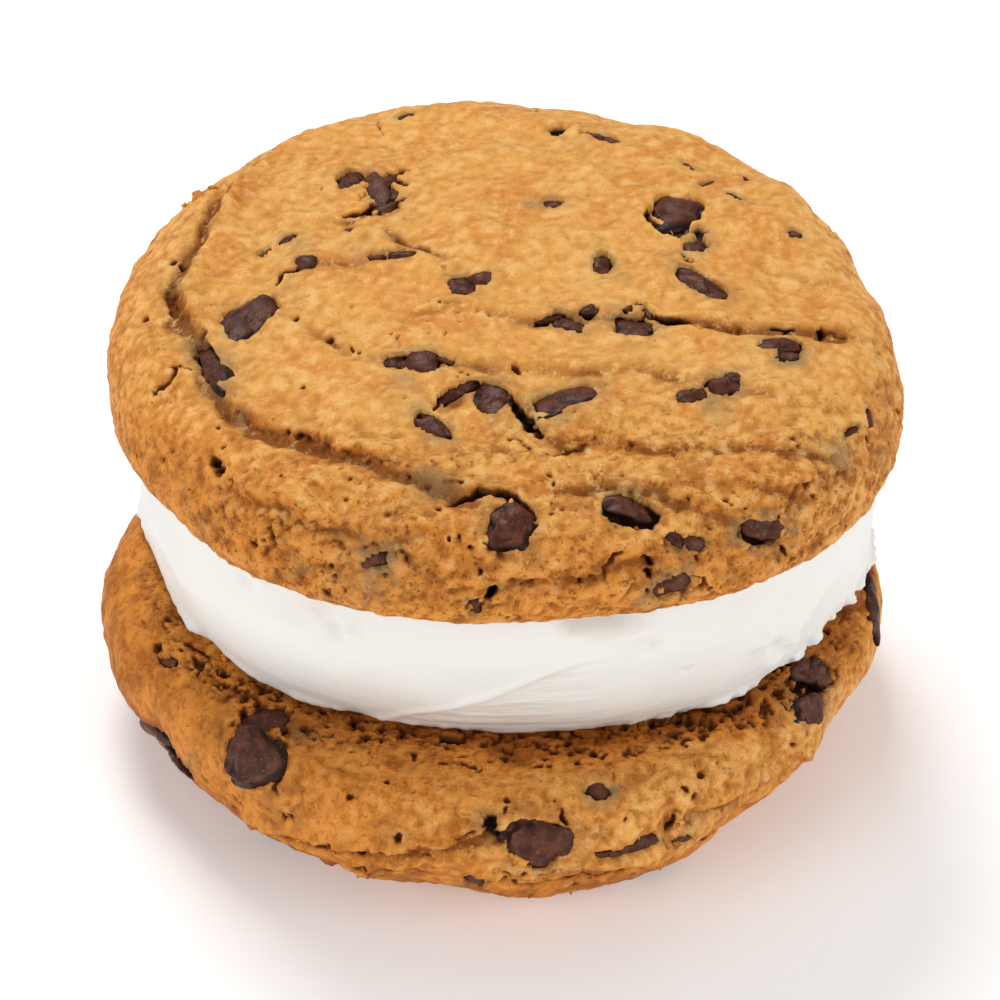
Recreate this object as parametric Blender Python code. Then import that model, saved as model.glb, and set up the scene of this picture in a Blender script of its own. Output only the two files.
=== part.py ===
"""Whoopie pie: two chocolate-chip cookies with their flat sides inward round a thick layer of cream.

Metres, +Z up. The origin is under the middle of the pie, on the surface that it rests on.
Angles are measured round +Z from +X, and the front of the pie faces -Y.
"""
import math
import random

import bmesh
import bpy
from mathutils import Matrix, Vector, noise
from mathutils.bvhtree import BVHTree

# Heights, from the resting surface up
GAP = 0.0003
BOTTOM_WIDEST = 0.0134
BOTTOM_FLAT = 0.0194
TOP_FLAT = 0.0440
TOP_WIDEST = 0.0477

# Radii in plan, before the outlines are made uneven
BOTTOM_RADIUS = 0.0431
TOP_RADIUS = 0.0444
FOOT_RADIUS = 0.0160

# Rounding of the two rims and the rise of the two domes
BOTTOM_SHOULDER = 0.0182
BOTTOM_EDGE = 0.0055
TOP_SHOULDER = 0.0088
TOP_SHOULDER_HEIGHT = 0.0105
TOP_EDGE = 0.0043
TOP_CROWN = 0.0030

# Cream: upright above, drawn in below, and most of all at the front
CREAM_RADIUS = 0.0404
CREAM_UPRIGHT_FROM = 0.0370
CREAM_TAPER_POWER = 1.5
CREAM_HALF_WIDTH = 0.0411
CREAM_FRONT = 0.0394
CREAM_BACK = 0.0402
CREAM_SIDEWAYS = 0.0010
CREAM_FOOT_HALF_WIDTH = 0.0396
CREAM_FOOT_FRONT = 0.0292
CREAM_FOOT_BACK = 0.0362
CREAM_FOOT_SIDEWAYS = 0.0020
CREAM_LUMP = 0.0005

# Uneven outlines: waves a turn, share of the radius, angle of the first crest in degrees
TOP_WAVES = ((1, 0.011, -24), (2, 0.018, -95), (3, 0.019, -98), (4, 0.011, -131), (5, 0.006, 147))
BOTTOM_WAVES = (
    (1, 0.014, 181), (2, 0.014, 83), (3, 0.017, 115), (4, 0.025, 22), (5, 0.009, 85), (6, 0.009, -94),
)
CREAM_WAVES = ((3, 0.004, 200), (5, 0.005, 75), (9, 0.003, 10))

# Relief of the baked faces: swellings of two sizes, kept low at the rims, and cracks
LUMP_SIZE = 0.0130
SMALL_LUMP_SIZE = 0.0060
LUMP_HEIGHT = 0.00070
SMALL_LUMP_HEIGHT = 0.00035
LUMP_SHARE_AT_RIM = 0.45
TOP_LUMPS = Vector((3.0, 0.0, 0.0))
BOTTOM_LUMPS = Vector((8.0, 0.0, 0.0))
SMOOTH_NEXT_TO_FLAT = 0.0005
CRACK_WIDTH = 0.0013
CRACK_DEPTH = 0.0011

# Cracks of the upper dome as (x, y) points; the first follows the rim and is given by angle and radius
RING_CRACK_TURNS = (
    (128, 0.0395), (150, 0.0350), (180, 0.0348), (205, 0.0335), (232, 0.0325), (262, 0.0355),
)
RING_CRACK = tuple(
    (radius * math.cos(math.radians(angle)), radius * math.sin(math.radians(angle)))
    for angle, radius in RING_CRACK_TURNS
)
SIDE_CRACK = ((0.0120, -0.0080), (0.0235, -0.0068), (0.0330, -0.0062), (0.0400, -0.0048))
FRONT_CRACK = ((0.0004, -0.0208), (0.0050, -0.0272), (0.0110, -0.0286), (0.0230, -0.0268), (0.0300, -0.0244))

# Ledge where the lower dome parts from its rim: its angles in degrees, height and depth
LEDGE_FROM = -128
LEDGE_TO = -52
LEDGE_HEIGHT = 0.0108
LEDGE_WIDTH = 0.0012
LEDGE_DEPTH = 0.0012

# Chips: a drop with a flat base that shows, sunk in the dough with its base just proud of it
CHIP_SIDES = 8
CHIP_HEIGHT = 0.0042
CHIP_TIP_SHARE = 0.35
CHIP_RISE = 0.0004
CHIP_SPACING = 0.0082
CHIP_LEAN = math.radians(12)
CHIP_ROUNDNESS = (0.55, 0.85)
RAY_START = 0.2

# The chips that show most: angle in degrees, distance out or height up, length, width, turn in degrees
TOP_CHIPS = (
    (127, 0.0230, 0.0070, 0.0055, -30),
    (74, 0.0335, 0.0066, 0.0032, -25),
    (36, 0.0243, 0.0066, 0.0060, 20),
    (3, 0.0226, 0.0066, 0.0036, -30),
    (-172, 0.0268, 0.0072, 0.0054, 40),
    (-160, 0.0338, 0.0064, 0.0034, 95),
    (-122, 0.0170, 0.0062, 0.0038, 0),
    (-97, 0.0202, 0.0078, 0.0056, -20),
    (-72, 0.0218, 0.0072, 0.0038, 15),
    (-36, 0.0283, 0.0066, 0.0038, 20),
    (-16, 0.0322, 0.0052, 0.0046, 0),
    (-90, 0.0386, 0.0064, 0.0064, 0),
    (-69, 0.0388, 0.0070, 0.0050, -10),
    (-52, 0.0436, 0.0050, 0.0040, 0),
)
BOTTOM_CHIPS = (
    (-131, 0.0178, 0.0066, 0.0062, 0),
    (-86, 0.0150, 0.0076, 0.0050, 0),
    (-153, 0.0112, 0.0060, 0.0040, 0),
    (-30, 0.0168, 0.0060, 0.0046, 90),
    (-2, 0.0167, 0.0060, 0.0040, 90),
    (40, 0.0150, 0.0064, 0.0052, 0),
    (75, 0.0120, 0.0060, 0.0050, 30),
    (112, 0.0155, 0.0066, 0.0050, 0),
    (150, 0.0130, 0.0060, 0.0044, 60),
    (178, 0.0160, 0.0056, 0.0046, 0),
)
TOP_SMALL_CHIPS = 18
BOTTOM_SMALL_CHIPS = 12
SMALL_CHIPS_ABOVE = (0.0040, 0.0414)
SMALL_CHIPS_BELOW = (0.0300, 0.0371)
CHIP_LOWEST = 0.0018
TOP_CHIP_SEED = 11
BOTTOM_CHIP_SEED = 5
SMALL_CHIP_LARGEST = 0.0054
SMALL_CHIP_SMALLEST = 0.0034
SPIRAL_STEPS = 400
GOLDEN_SHARE = (math.sqrt(5) - 1) / 2
GOLDEN_ANGLE = math.pi * (3 - math.sqrt(5))

# Number of faces round each piece
SEGMENTS = 88
CREAM_SEGMENTS = 72

COOKIE_COLOUR = (0.56, 0.27, 0.085, 1.0)
CHOCOLATE_COLOUR = (0.045, 0.020, 0.017, 1.0)
CREAM_COLOUR = (0.86, 0.85, 0.83, 1.0)


def make_material(name, colour, roughness):
    material = bpy.data.materials.new(name)
    material.use_nodes = True
    shader = material.node_tree.nodes["Principled BSDF"]
    shader.inputs["Base Color"].default_value = colour
    shader.inputs["Roughness"].default_value = roughness
    shader.inputs["Metallic"].default_value = 0.0
    return material


def quarter(centre, reach, rise, first, last, steps):
    """Points of a quarter ellipse round centre (radius, height), from one angle in degrees to another."""
    points = []
    for step in range(steps + 1):
        angle = math.radians(first + (last - first) * step / steps)
        points.append((centre[0] + reach * math.cos(angle), centre[1] + rise * math.sin(angle)))
    return points


def top_profile():
    """Upper cookie, from the middle of its dome over the rim to the middle of its flat side."""
    edge_of_dome = TOP_RADIUS - TOP_SHOULDER
    shoulder_top = TOP_WIDEST + TOP_SHOULDER_HEIGHT
    points = []
    for share in (0.0, 0.16, 0.31, 0.45, 0.58, 0.70, 0.80, 0.90, 0.955):
        points.append((edge_of_dome * share, shoulder_top + TOP_CROWN * (1 - share ** 2)))
    points += quarter((edge_of_dome, TOP_WIDEST), TOP_SHOULDER, TOP_SHOULDER_HEIGHT, 90, 0, 7)
    inner = TOP_RADIUS - TOP_EDGE
    points += quarter((inner, TOP_WIDEST), TOP_EDGE, TOP_WIDEST - TOP_FLAT, 0, -90, 3)[1:]
    points += [(inner * 0.55, TOP_FLAT), (0.0, TOP_FLAT)]
    return points


def bottom_profile():
    """Lower cookie, from the middle of its flat side over the rim to the middle of its foot."""
    inner = BOTTOM_RADIUS - BOTTOM_EDGE
    points = [(0.0, BOTTOM_FLAT), (inner * 0.55, BOTTOM_FLAT)]
    points += quarter((inner, BOTTOM_WIDEST), BOTTOM_EDGE, BOTTOM_FLAT - BOTTOM_WIDEST, 90, 0, 5)
    edge_of_dome = BOTTOM_RADIUS - BOTTOM_SHOULDER
    points += quarter((edge_of_dome, BOTTOM_WIDEST), BOTTOM_SHOULDER, BOTTOM_WIDEST, 0, -76, 8)[1:]
    points += [(FOOT_RADIUS, 0.0), (0.0, 0.0)]
    return points


def cream_profile():
    """Cream as an upright drum, from the middle of its upper face to the middle of its lower face."""
    low = BOTTOM_FLAT + GAP
    high = TOP_FLAT - GAP
    points = [(0.0, high), (CREAM_RADIUS * 0.6, high), (CREAM_RADIUS - 0.0006, high)]
    for height in (high - 0.0012, CREAM_UPRIGHT_FROM):
        points.append((CREAM_RADIUS, height))
    for share in (0.14, 0.29, 0.44, 0.58, 0.72, 0.86):
        points.append((CREAM_RADIUS, CREAM_UPRIGHT_FROM + (low - CREAM_UPRIGHT_FROM) * share))
    points += [(CREAM_RADIUS, low), (CREAM_RADIUS * 0.6, low), (0.0, low)]
    return points


def turn(profile, segments):
    """A closed solid made by spinning a (radius, height) profile once round +Z."""
    body = bmesh.new()
    verts = [body.verts.new((radius, 0.0, height)) for radius, height in profile]
    edges = [body.edges.new(pair) for pair in zip(verts, verts[1:])]
    bmesh.ops.spin(
        body, geom=verts + edges, cent=(0, 0, 0), axis=(0, 0, 1), dvec=(0, 0, 0),
        angle=math.tau, steps=segments, use_merge=True, use_duplicate=False,
    )
    bmesh.ops.remove_doubles(body, verts=body.verts, dist=0.00001)
    bmesh.ops.recalc_face_normals(body, faces=body.faces)
    if body.calc_volume(signed=True) < 0:
        bmesh.ops.reverse_faces(body, faces=body.faces)
    body.normal_update()
    return body


def uneven(angle, waves):
    """Share of the true radius at an angle, for an outline that isn't quite round."""
    total = 1.0
    for count, share, crest in waves:
        total += share * math.cos(count * angle - math.radians(crest))
    return total


def mix(first, second, share):
    return first + (second - first) * share


def distance_to_path(x, y, path):
    """Shortest distance in plan from a point to a path of straight stretches."""
    nearest = math.inf
    for (ax, ay), (bx, by) in zip(path, path[1:]):
        dx, dy = bx - ax, by - ay
        along = ((x - ax) * dx + (y - ay) * dy) / (dx * dx + dy * dy)
        along = min(1.0, max(0.0, along))
        nearest = min(nearest, math.hypot(x - ax - dx * along, y - ay - dy * along))
    return nearest


def lumps(point, shift):
    """Height of the gentle swellings of baked dough at a point."""
    broad = noise.noise(point / LUMP_SIZE + shift)
    small = noise.noise(point / SMALL_LUMP_SIZE + shift)
    return LUMP_HEIGHT * broad + SMALL_LUMP_HEIGHT * small


def valley(distance, width, depth):
    return depth * math.exp(-(distance / width) ** 2)


def shape_top(body):
    """Uneven outline, swellings and cracks of the upper cookie."""
    for vert in body.verts:
        angle = math.atan2(vert.co.y, vert.co.x)
        vert.co.xy *= uneven(angle, TOP_WAVES)
    body.normal_update()
    normals = {vert: vert.normal.copy() for vert in body.verts}
    for vert in body.verts:
        if vert.co.z < TOP_FLAT + SMOOTH_NEXT_TO_FLAT:
            continue
        x, y = vert.co.x, vert.co.y
        drop = 0.0
        for path in (RING_CRACK, SIDE_CRACK, FRONT_CRACK):
            drop = max(drop, valley(distance_to_path(x, y, path), CRACK_WIDTH, CRACK_DEPTH))
        swelling = lumps(vert.co, TOP_LUMPS) * mix(LUMP_SHARE_AT_RIM, 1.0, max(0.0, normals[vert].z))
        vert.co += normals[vert] * (swelling - drop)


def shape_bottom(body):
    """Uneven outline, swellings and ledge of the lower cookie."""
    for vert in body.verts:
        angle = math.atan2(vert.co.y, vert.co.x)
        vert.co.xy *= uneven(angle, BOTTOM_WAVES)
    body.normal_update()
    normals = {vert: vert.normal.copy() for vert in body.verts}
    for vert in body.verts:
        if not SMOOTH_NEXT_TO_FLAT < vert.co.z < BOTTOM_FLAT - SMOOTH_NEXT_TO_FLAT:
            continue
        angle = math.degrees(math.atan2(vert.co.y, vert.co.x))
        middle = (LEDGE_FROM + LEDGE_TO) / 2
        reach = (LEDGE_TO - LEDGE_FROM) / 2
        share = max(0.0, 1 - ((angle - middle) / reach) ** 2)
        drop = valley(vert.co.z - LEDGE_HEIGHT, LEDGE_WIDTH, LEDGE_DEPTH) * math.sqrt(share)
        vert.co += normals[vert] * (lumps(vert.co, BOTTOM_LUMPS) * LUMP_SHARE_AT_RIM - drop)
        vert.co.z = max(0.0, vert.co.z)


def shape_cream(body):
    """Turns the drum into the cream: a rounder ring above, a narrower one below, drawn in at the front."""
    low = BOTTOM_FLAT + GAP
    high = TOP_FLAT - GAP
    for vert in body.verts:
        angle = math.atan2(vert.co.y, vert.co.x)
        share = max(0.0, (CREAM_UPRIGHT_FROM - vert.co.z) / (CREAM_UPRIGHT_FROM - low))
        below = share ** CREAM_TAPER_POWER
        half_width = mix(CREAM_HALF_WIDTH, CREAM_FOOT_HALF_WIDTH, below)
        front_or_back = mix(CREAM_FRONT, CREAM_FOOT_FRONT, below)
        if vert.co.y > 0:
            front_or_back = mix(CREAM_BACK, CREAM_FOOT_BACK, below)
        vert.co.xy *= uneven(angle, CREAM_WAVES)
        vert.co.x = vert.co.x * half_width / CREAM_RADIUS + mix(CREAM_SIDEWAYS, CREAM_FOOT_SIDEWAYS, below)
        vert.co.y *= front_or_back / CREAM_RADIUS
        on_side = min(1.0, 4 * (high - vert.co.z) / (high - low), 4 * (vert.co.z - low) / (high - low))
        vert.co.xy *= 1 + noise.noise(vert.co / LUMP_SIZE) * CREAM_LUMP / CREAM_RADIUS * on_side


def make_object(name, body, materials):
    mesh = bpy.data.meshes.new(name)
    body.to_mesh(mesh)
    body.free()
    for material in materials:
        mesh.materials.append(material)
    piece = bpy.data.objects.new(name, mesh)
    bpy.context.collection.objects.link(piece)
    return piece


def make_chip(place, outward, length, width, turned, material, lean):
    """One chip as its own solid: a blunt drop, base outwards, sunk to CHIP_RISE at a point of the crust."""
    body = bmesh.new()
    bmesh.ops.create_cone(
        body, cap_ends=True, segments=CHIP_SIDES, radius1=0.5 * CHIP_TIP_SHARE, radius2=0.5, depth=1.0
    )
    bmesh.ops.translate(body, verts=body.verts, vec=(0, 0, -0.5))
    bmesh.ops.scale(body, verts=body.verts, vec=(length, width, CHIP_HEIGHT))
    upright = outward.to_track_quat("Z", "X").to_matrix().to_4x4()
    spin = Matrix.Rotation(turned, 4, "Z")
    tilt = Matrix.Rotation(lean, 4, "X")
    place_matrix = Matrix.Translation(place + outward * CHIP_RISE) @ upright @ spin @ tilt
    bmesh.ops.transform(body, matrix=place_matrix, verts=body.verts)
    return make_object("chip", body, [material])


def crust_on_dome(tree, angle, distance):
    start = Vector((distance * math.cos(angle), distance * math.sin(angle), RAY_START))
    place, outward, _, _ = tree.ray_cast(start, Vector((0, 0, -1)))
    return place, outward


def crust_on_side(tree, angle, height):
    heading = Vector((math.cos(angle), math.sin(angle), 0))
    place, outward, _, _ = tree.ray_cast(heading * RAY_START + Vector((0, 0, height)), -heading)
    return place, outward


def crust_below(tree, angle, distance):
    start = Vector((distance * math.cos(angle), distance * math.sin(angle), -RAY_START))
    place, outward, _, _ = tree.ray_cast(start, Vector((0, 0, 1)))
    return place, outward


def place_chips(cookie, shown, find_shown, small_count, find_small, reach, material, seed):
    """Chips of one cookie: those that show most, then smaller ones on an even spiral, largest first."""
    draw = random.Random(seed)
    body = bmesh.new()
    body.from_mesh(cookie.data)
    tree = BVHTree.FromBMesh(body)
    body.free()
    chips = []
    places = []
    for degrees, position, length, width, turned in shown:
        place, outward = find_shown(tree, math.radians(degrees), position)
        lean = draw.uniform(-CHIP_LEAN, CHIP_LEAN)
        chips.append(make_chip(place, outward, length, width, math.radians(turned), material, lean))
        places.append(place)
    step = 0
    made = 0
    while made < small_count and step < SPIRAL_STEPS:
        angle = step * GOLDEN_ANGLE
        distance = reach[0] + (reach[1] - reach[0]) * math.sqrt(step * GOLDEN_SHARE % 1.0)
        step += 1
        place, outward = find_small(tree, angle, distance)
        crowded = min((place - other).length for other in places) < CHIP_SPACING
        if crowded or place.z < CHIP_LOWEST:
            continue
        share = made / max(1, small_count - 1)
        length = SMALL_CHIP_LARGEST + (SMALL_CHIP_SMALLEST - SMALL_CHIP_LARGEST) * share
        width = length * draw.uniform(*CHIP_ROUNDNESS)
        turned = draw.uniform(0, math.pi)
        lean = draw.uniform(-CHIP_LEAN, CHIP_LEAN)
        chips.append(make_chip(place, outward, length, width, turned, material, lean))
        places.append(place)
        made += 1
    return chips


def fuse(cookie, chips):
    """Joins the chips to their cookie in one union, then keeps the one body that holds everything."""
    group = bpy.data.collections.new("chips")
    for chip in chips:
        bpy.context.collection.objects.unlink(chip)
        group.objects.link(chip)
    union = cookie.modifiers.new("chips", "BOOLEAN")
    union.operation = "UNION"
    union.solver = "EXACT"
    union.operand_type = "COLLECTION"
    union.collection = group
    union.material_mode = "TRANSFER"
    bpy.context.view_layer.update()
    fused = bpy.data.meshes.new_from_object(cookie.evaluated_get(bpy.context.evaluated_depsgraph_get()))
    cookie.modifiers.remove(union)
    cookie.data = fused
    for chip in chips:
        bpy.data.objects.remove(chip)
    bpy.data.collections.remove(group)
    keep_one_body(cookie)


def islands(body):
    """Groups of vertices that hang together."""
    left = set(body.verts)
    groups = []
    while left:
        group = set()
        front = [left.pop()]
        while front:
            vert = front.pop()
            group.add(vert)
            for edge in vert.link_edges:
                other = edge.other_vert(vert)
                if other in left:
                    left.remove(other)
                    front.append(other)
        groups.append(group)
    return groups


def keep_one_body(piece):
    """Drops loose scraps and the walls of sealed hollows, and leaves triangles."""
    body = bmesh.new()
    body.from_mesh(piece.data)
    groups = sorted(islands(body), key=len)
    for group in groups[:-1]:
        bmesh.ops.delete(body, geom=list(group), context="VERTS")
    bmesh.ops.dissolve_degenerate(body, edges=body.edges, dist=0.00002)
    bmesh.ops.triangulate(body, faces=body.faces)
    body.to_mesh(piece.data)
    body.free()


def shade(piece):
    piece.data.shade_smooth()
    piece.data.set_sharp_from_angle(angle=math.radians(40))


def stand_on_origin(pieces):
    """Moves the pieces' meshes so that the origin is under the middle of the whole pie."""
    corners = [vert.co for piece in pieces for vert in piece.data.vertices]
    low = [min(co[axis] for co in corners) for axis in range(3)]
    high = [max(co[axis] for co in corners) for axis in range(3)]
    shift = Vector((-(low[0] + high[0]) / 2, -(low[1] + high[1]) / 2, -low[2]))
    for piece in pieces:
        piece.data.transform(Matrix.Translation(shift))


def build():
    for old in list(bpy.data.objects):
        bpy.data.objects.remove(old)
    crumb = make_material("golden crumb", COOKIE_COLOUR, 0.62)
    chocolate = make_material("chocolate", CHOCOLATE_COLOUR, 0.38)
    white = make_material("cream", CREAM_COLOUR, 0.45)

    lower = turn(bottom_profile(), SEGMENTS)
    shape_bottom(lower)
    bottom_cookie = make_object("bottom_cookie", lower, [crumb, chocolate])
    upper = turn(top_profile(), SEGMENTS)
    shape_top(upper)
    top_cookie = make_object("top_cookie", upper, [crumb, chocolate])
    filling = turn(cream_profile(), CREAM_SEGMENTS)
    shape_cream(filling)
    cream = make_object("cream", filling, [white])

    chips = place_chips(
        bottom_cookie, BOTTOM_CHIPS, crust_on_side, BOTTOM_SMALL_CHIPS, crust_below,
        SMALL_CHIPS_BELOW, chocolate, BOTTOM_CHIP_SEED,
    )
    fuse(bottom_cookie, chips)
    chips = place_chips(
        top_cookie, TOP_CHIPS, crust_on_dome, TOP_SMALL_CHIPS, crust_on_dome,
        SMALL_CHIPS_ABOVE, chocolate, TOP_CHIP_SEED,
    )
    fuse(top_cookie, chips)
    pieces = [bottom_cookie, cream, top_cookie]
    stand_on_origin(pieces)
    for piece in pieces:
        shade(piece)


build()
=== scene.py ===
# %% [markdown]
# # A whoopie pie
# The real thing is a sandwich: two soft, domed chocolate-chip cookies with their flat sides inward,
# round a thick layer of white cream. The frame holds its plain solids, which fix every size and place.
# This lesson dresses them, piece by piece: a baked crust with cracks, pits and crumbs for each cookie,
# chocolate chips sunk in it, and cream with spread marks. Everything is in metres, +Z up, front at -Y.

# %% Open the frame
import math
import random

import bpy
import numpy as np
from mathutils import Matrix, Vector, kdtree, noise
from mathutils.bvhtree import BVHTree


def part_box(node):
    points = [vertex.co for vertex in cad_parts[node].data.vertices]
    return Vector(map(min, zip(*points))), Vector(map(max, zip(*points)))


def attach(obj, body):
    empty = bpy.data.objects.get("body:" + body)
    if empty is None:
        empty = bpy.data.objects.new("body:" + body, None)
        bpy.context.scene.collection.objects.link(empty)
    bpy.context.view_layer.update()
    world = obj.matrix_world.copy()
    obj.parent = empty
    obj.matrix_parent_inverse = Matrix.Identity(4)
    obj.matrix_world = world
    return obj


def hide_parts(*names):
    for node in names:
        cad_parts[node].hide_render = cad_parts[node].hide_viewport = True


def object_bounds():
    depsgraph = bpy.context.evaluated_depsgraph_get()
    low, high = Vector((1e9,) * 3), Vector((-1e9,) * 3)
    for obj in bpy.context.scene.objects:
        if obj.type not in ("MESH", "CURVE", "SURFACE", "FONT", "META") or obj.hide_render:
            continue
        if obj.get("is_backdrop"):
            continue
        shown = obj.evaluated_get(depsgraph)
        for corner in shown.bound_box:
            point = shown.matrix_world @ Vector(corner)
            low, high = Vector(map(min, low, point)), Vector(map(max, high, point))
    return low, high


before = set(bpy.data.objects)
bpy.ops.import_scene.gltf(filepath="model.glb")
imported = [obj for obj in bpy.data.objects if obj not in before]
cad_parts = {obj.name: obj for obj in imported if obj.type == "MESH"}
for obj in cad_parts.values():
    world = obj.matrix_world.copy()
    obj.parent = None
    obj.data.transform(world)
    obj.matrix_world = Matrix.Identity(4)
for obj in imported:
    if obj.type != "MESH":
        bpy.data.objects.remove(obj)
cad_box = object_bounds()
MM = 0.001
PIE_MIDDLE = Vector((0.72, 0.20, 0.0)) * MM
BOTTOM_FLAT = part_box("cream")[0].z - 0.3 * MM
TOP_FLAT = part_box("top_cookie")[0].z
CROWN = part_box("top_cookie")[1].z
print("the solids stand", round(CROWN / MM, 1), "mm high; cream from", round(BOTTOM_FLAT / MM, 1),
      "to", round(TOP_FLAT / MM, 1), "mm")

# %% [markdown]
# ## Camera
# A food photographer stands back and uses a long lens, so that round things keep round outlines.
# The photograph looks down at 37 degrees from a little over a metre. The camera keeps that place and
# that angle, and only its lens is longer, so that the pie fills four fifths of the picture.

# %% Camera
CAMERA_ELEVATION = math.radians(37)
CAMERA_DISTANCE = 1.125
CAMERA_AIM = Vector((0.0007, 0.0002, 0.0300))
PHOTO_FOCAL = 3675.0
PHOTO_AIM = (474.7, 694.0)
ENLARGEMENT = 2.72
SENSOR_WIDTH = 36.0
PICTURE_WIDTH = 1000

view_direction = Vector((0.0, math.cos(CAMERA_ELEVATION), -math.sin(CAMERA_ELEVATION)))
camera_place = CAMERA_AIM - view_direction * CAMERA_DISTANCE
bpy.ops.object.camera_add(location=camera_place, rotation=(math.pi / 2 - CAMERA_ELEVATION, 0, 0))
camera = bpy.context.object
camera.name = "camera"
camera.data.sensor_width = SENSOR_WIDTH
camera.data.lens = SENSOR_WIDTH * PHOTO_FOCAL * ENLARGEMENT / PICTURE_WIDTH
bpy.context.scene.camera = camera
print("lens", round(camera.data.lens), "mm")

# %% [markdown]
# ## Reading places off the photograph
# A pixel of the photograph is a line of sight from the camera. Where that line first meets a cookie is
# the place of whatever the pixel shows, so a chip put there sits on the crust seen from any side.

# %% Lines of sight
SEARCH_STEP = 2 * MM
SEARCH_STEPS = 30


def sight(x, y):
    """Direction from the camera through a pixel of the photograph."""
    right = Vector((1.0, 0.0, 0.0))
    up = right.cross(view_direction)
    bent = right * (x - PHOTO_AIM[0]) - up * (y - PHOTO_AIM[1])
    return (view_direction + bent / PHOTO_FOCAL).normalized()


def surface_of(piece):
    """A piece's surface, ready to be hit by lines."""
    return BVHTree.FromObject(piece, bpy.context.evaluated_depsgraph_get())


def seen_at(surface, x, y):
    """Place and outward direction of the surface at a pixel, or of the spot that comes nearest."""
    direction = sight(x, y)
    place, outward, _, _ = surface.ray_cast(camera_place, direction)
    if place is None:
        middle = (CAMERA_AIM - camera_place).dot(direction)
        reaches = [middle + step * SEARCH_STEP for step in range(-SEARCH_STEPS, SEARCH_STEPS + 1)]
        nearest = [surface.find_nearest(camera_place + direction * reach) for reach in reaches]
        place, outward, _, _ = min(nearest, key=lambda found: found[3])
    return place, outward


print("a pixel of the photograph spans", round(CAMERA_DISTANCE / PHOTO_FOCAL / MM, 2), "mm at the pie")

# %% [markdown]
# ## Helpers for modelling
# Operators act on whatever is selected, so each step starts from one selected object. Heights of the
# relief are worked out for all points at once and then put back.

# %% Helpers


def only(piece):
    """Makes one object the active and the only selected one."""
    bpy.ops.object.select_all(action="DESELECT")
    piece.select_set(True)
    bpy.context.view_layer.objects.active = piece


def apply_modifier(piece, kind, **settings):
    """Adds a modifier and applies it."""
    only(piece)
    modifier = piece.modifiers.new(kind.lower(), kind)
    for name, value in settings.items():
        setattr(modifier, name, value)
    bpy.ops.object.modifier_apply(modifier=modifier.name)


def points_of(piece):
    """All points of a piece as rows of x, y and z."""
    flat = np.empty(len(piece.data.vertices) * 3, np.float32)
    piece.data.vertices.foreach_get("co", flat)
    return flat.reshape(-1, 3).astype(float)


def outwards_of(piece):
    """The outward direction at each point."""
    flat = np.empty(len(piece.data.vertices) * 3, np.float32)
    piece.data.vertex_normals.foreach_get("vector", flat)
    return flat.reshape(-1, 3).astype(float)


def put_points(piece, points):
    """Moves all points of a piece to new places."""
    piece.data.vertices.foreach_set("co", points.astype(np.float32).ravel())
    piece.data.update()


def keep_value(piece, name, values):
    """Stores one number for each point, for the materials to read."""
    attribute = piece.data.attributes.new(name, "FLOAT", "POINT")
    attribute.data.foreach_set("value", values.astype(np.float32))


def ripple(points, size, seed=0.0):
    """Smooth noise between about -1 and 1, with swellings of the given size, at each point."""
    shift = Vector((seed, seed * 2, seed * 3))
    return np.array([noise.noise(Vector(point) / size + shift) for point in points.tolist()])


def smooth(values, low, high):
    """0 below low, 1 above high, with a soft rise between them."""
    share = np.clip((values - low) / (high - low), 0, 1)
    return share * share * (3 - 2 * share)


def triangles_of(piece):
    """Number of triangles that the faces of a piece make."""
    return sum(len(face.vertices) - 2 for face in piece.data.polygons)


def far_from(points, place):
    """Distance of each point from one place."""
    return np.linalg.norm(points - np.array(place), axis=1)


def hill(distance, reach):
    """A soft hill: 1 where the distance is 0, and almost nothing beyond twice its reach."""
    return np.exp(-(distance / reach) ** 2)


def shaken(points, size, seed=0):
    """Three noises at each point, to push it a little in any direction."""
    return np.stack([ripple(points, size, seed + number) for number in (1, 2, 3)], 1)


def tree_of(places):
    """A search tree that quickly finds the nearest of many places."""
    tree = kdtree.KDTree(len(places))
    for index, place in enumerate(places):
        tree.insert(place, index)
    tree.balance()
    return tree


# %% [markdown]
# ## Turned bodies
# A drop cookie spreads into a round, so its section is the shape that matters. The section is drawn
# point by point with extrude and then spun round the vertical. The outline is made uneven afterwards by
# a few waves round the turn, because no baked cookie is a true circle.

# %% Draw a section and spin it
SPIN_STEPS = 160


def arc(centre, reach, rise, first, last, steps):
    """Points of a quarter ellipse in the XZ plane, from one angle in degrees to another."""
    angles = [math.radians(first + (last - first) * step / steps) for step in range(steps + 1)]
    return [(centre[0] + reach * math.cos(a), centre[1] + rise * math.sin(a)) for a in angles]


def turned(name, section):
    """A closed solid: a (radius, height) section drawn by extruding a point, then spun round +Z."""
    corners = [Vector((radius, 0.0, height)) for radius, height in section]
    bpy.ops.object.select_all(action="DESELECT")
    bpy.ops.mesh.primitive_plane_add(size=MM)
    piece = bpy.context.object
    piece.name = name
    bpy.ops.object.mode_set(mode="EDIT")
    bpy.ops.mesh.select_all(action="SELECT")
    bpy.ops.mesh.merge(type="CENTER")
    bpy.ops.transform.translate(value=corners[0])
    for corner, following in zip(corners, corners[1:]):
        step = following - corner
        bpy.ops.mesh.extrude_vertices_move(TRANSFORM_OT_translate={"value": step})
    bpy.ops.mesh.select_all(action="SELECT")
    bpy.ops.mesh.spin(steps=SPIN_STEPS, angle=math.tau, center=(0, 0, 0), axis=(0, 0, 1))
    bpy.ops.mesh.select_all(action="SELECT")
    bpy.ops.mesh.remove_doubles(threshold=0.01 * MM)
    bpy.ops.mesh.normals_make_consistent(inside=False)
    bpy.ops.object.mode_set(mode="OBJECT")
    return piece


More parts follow.
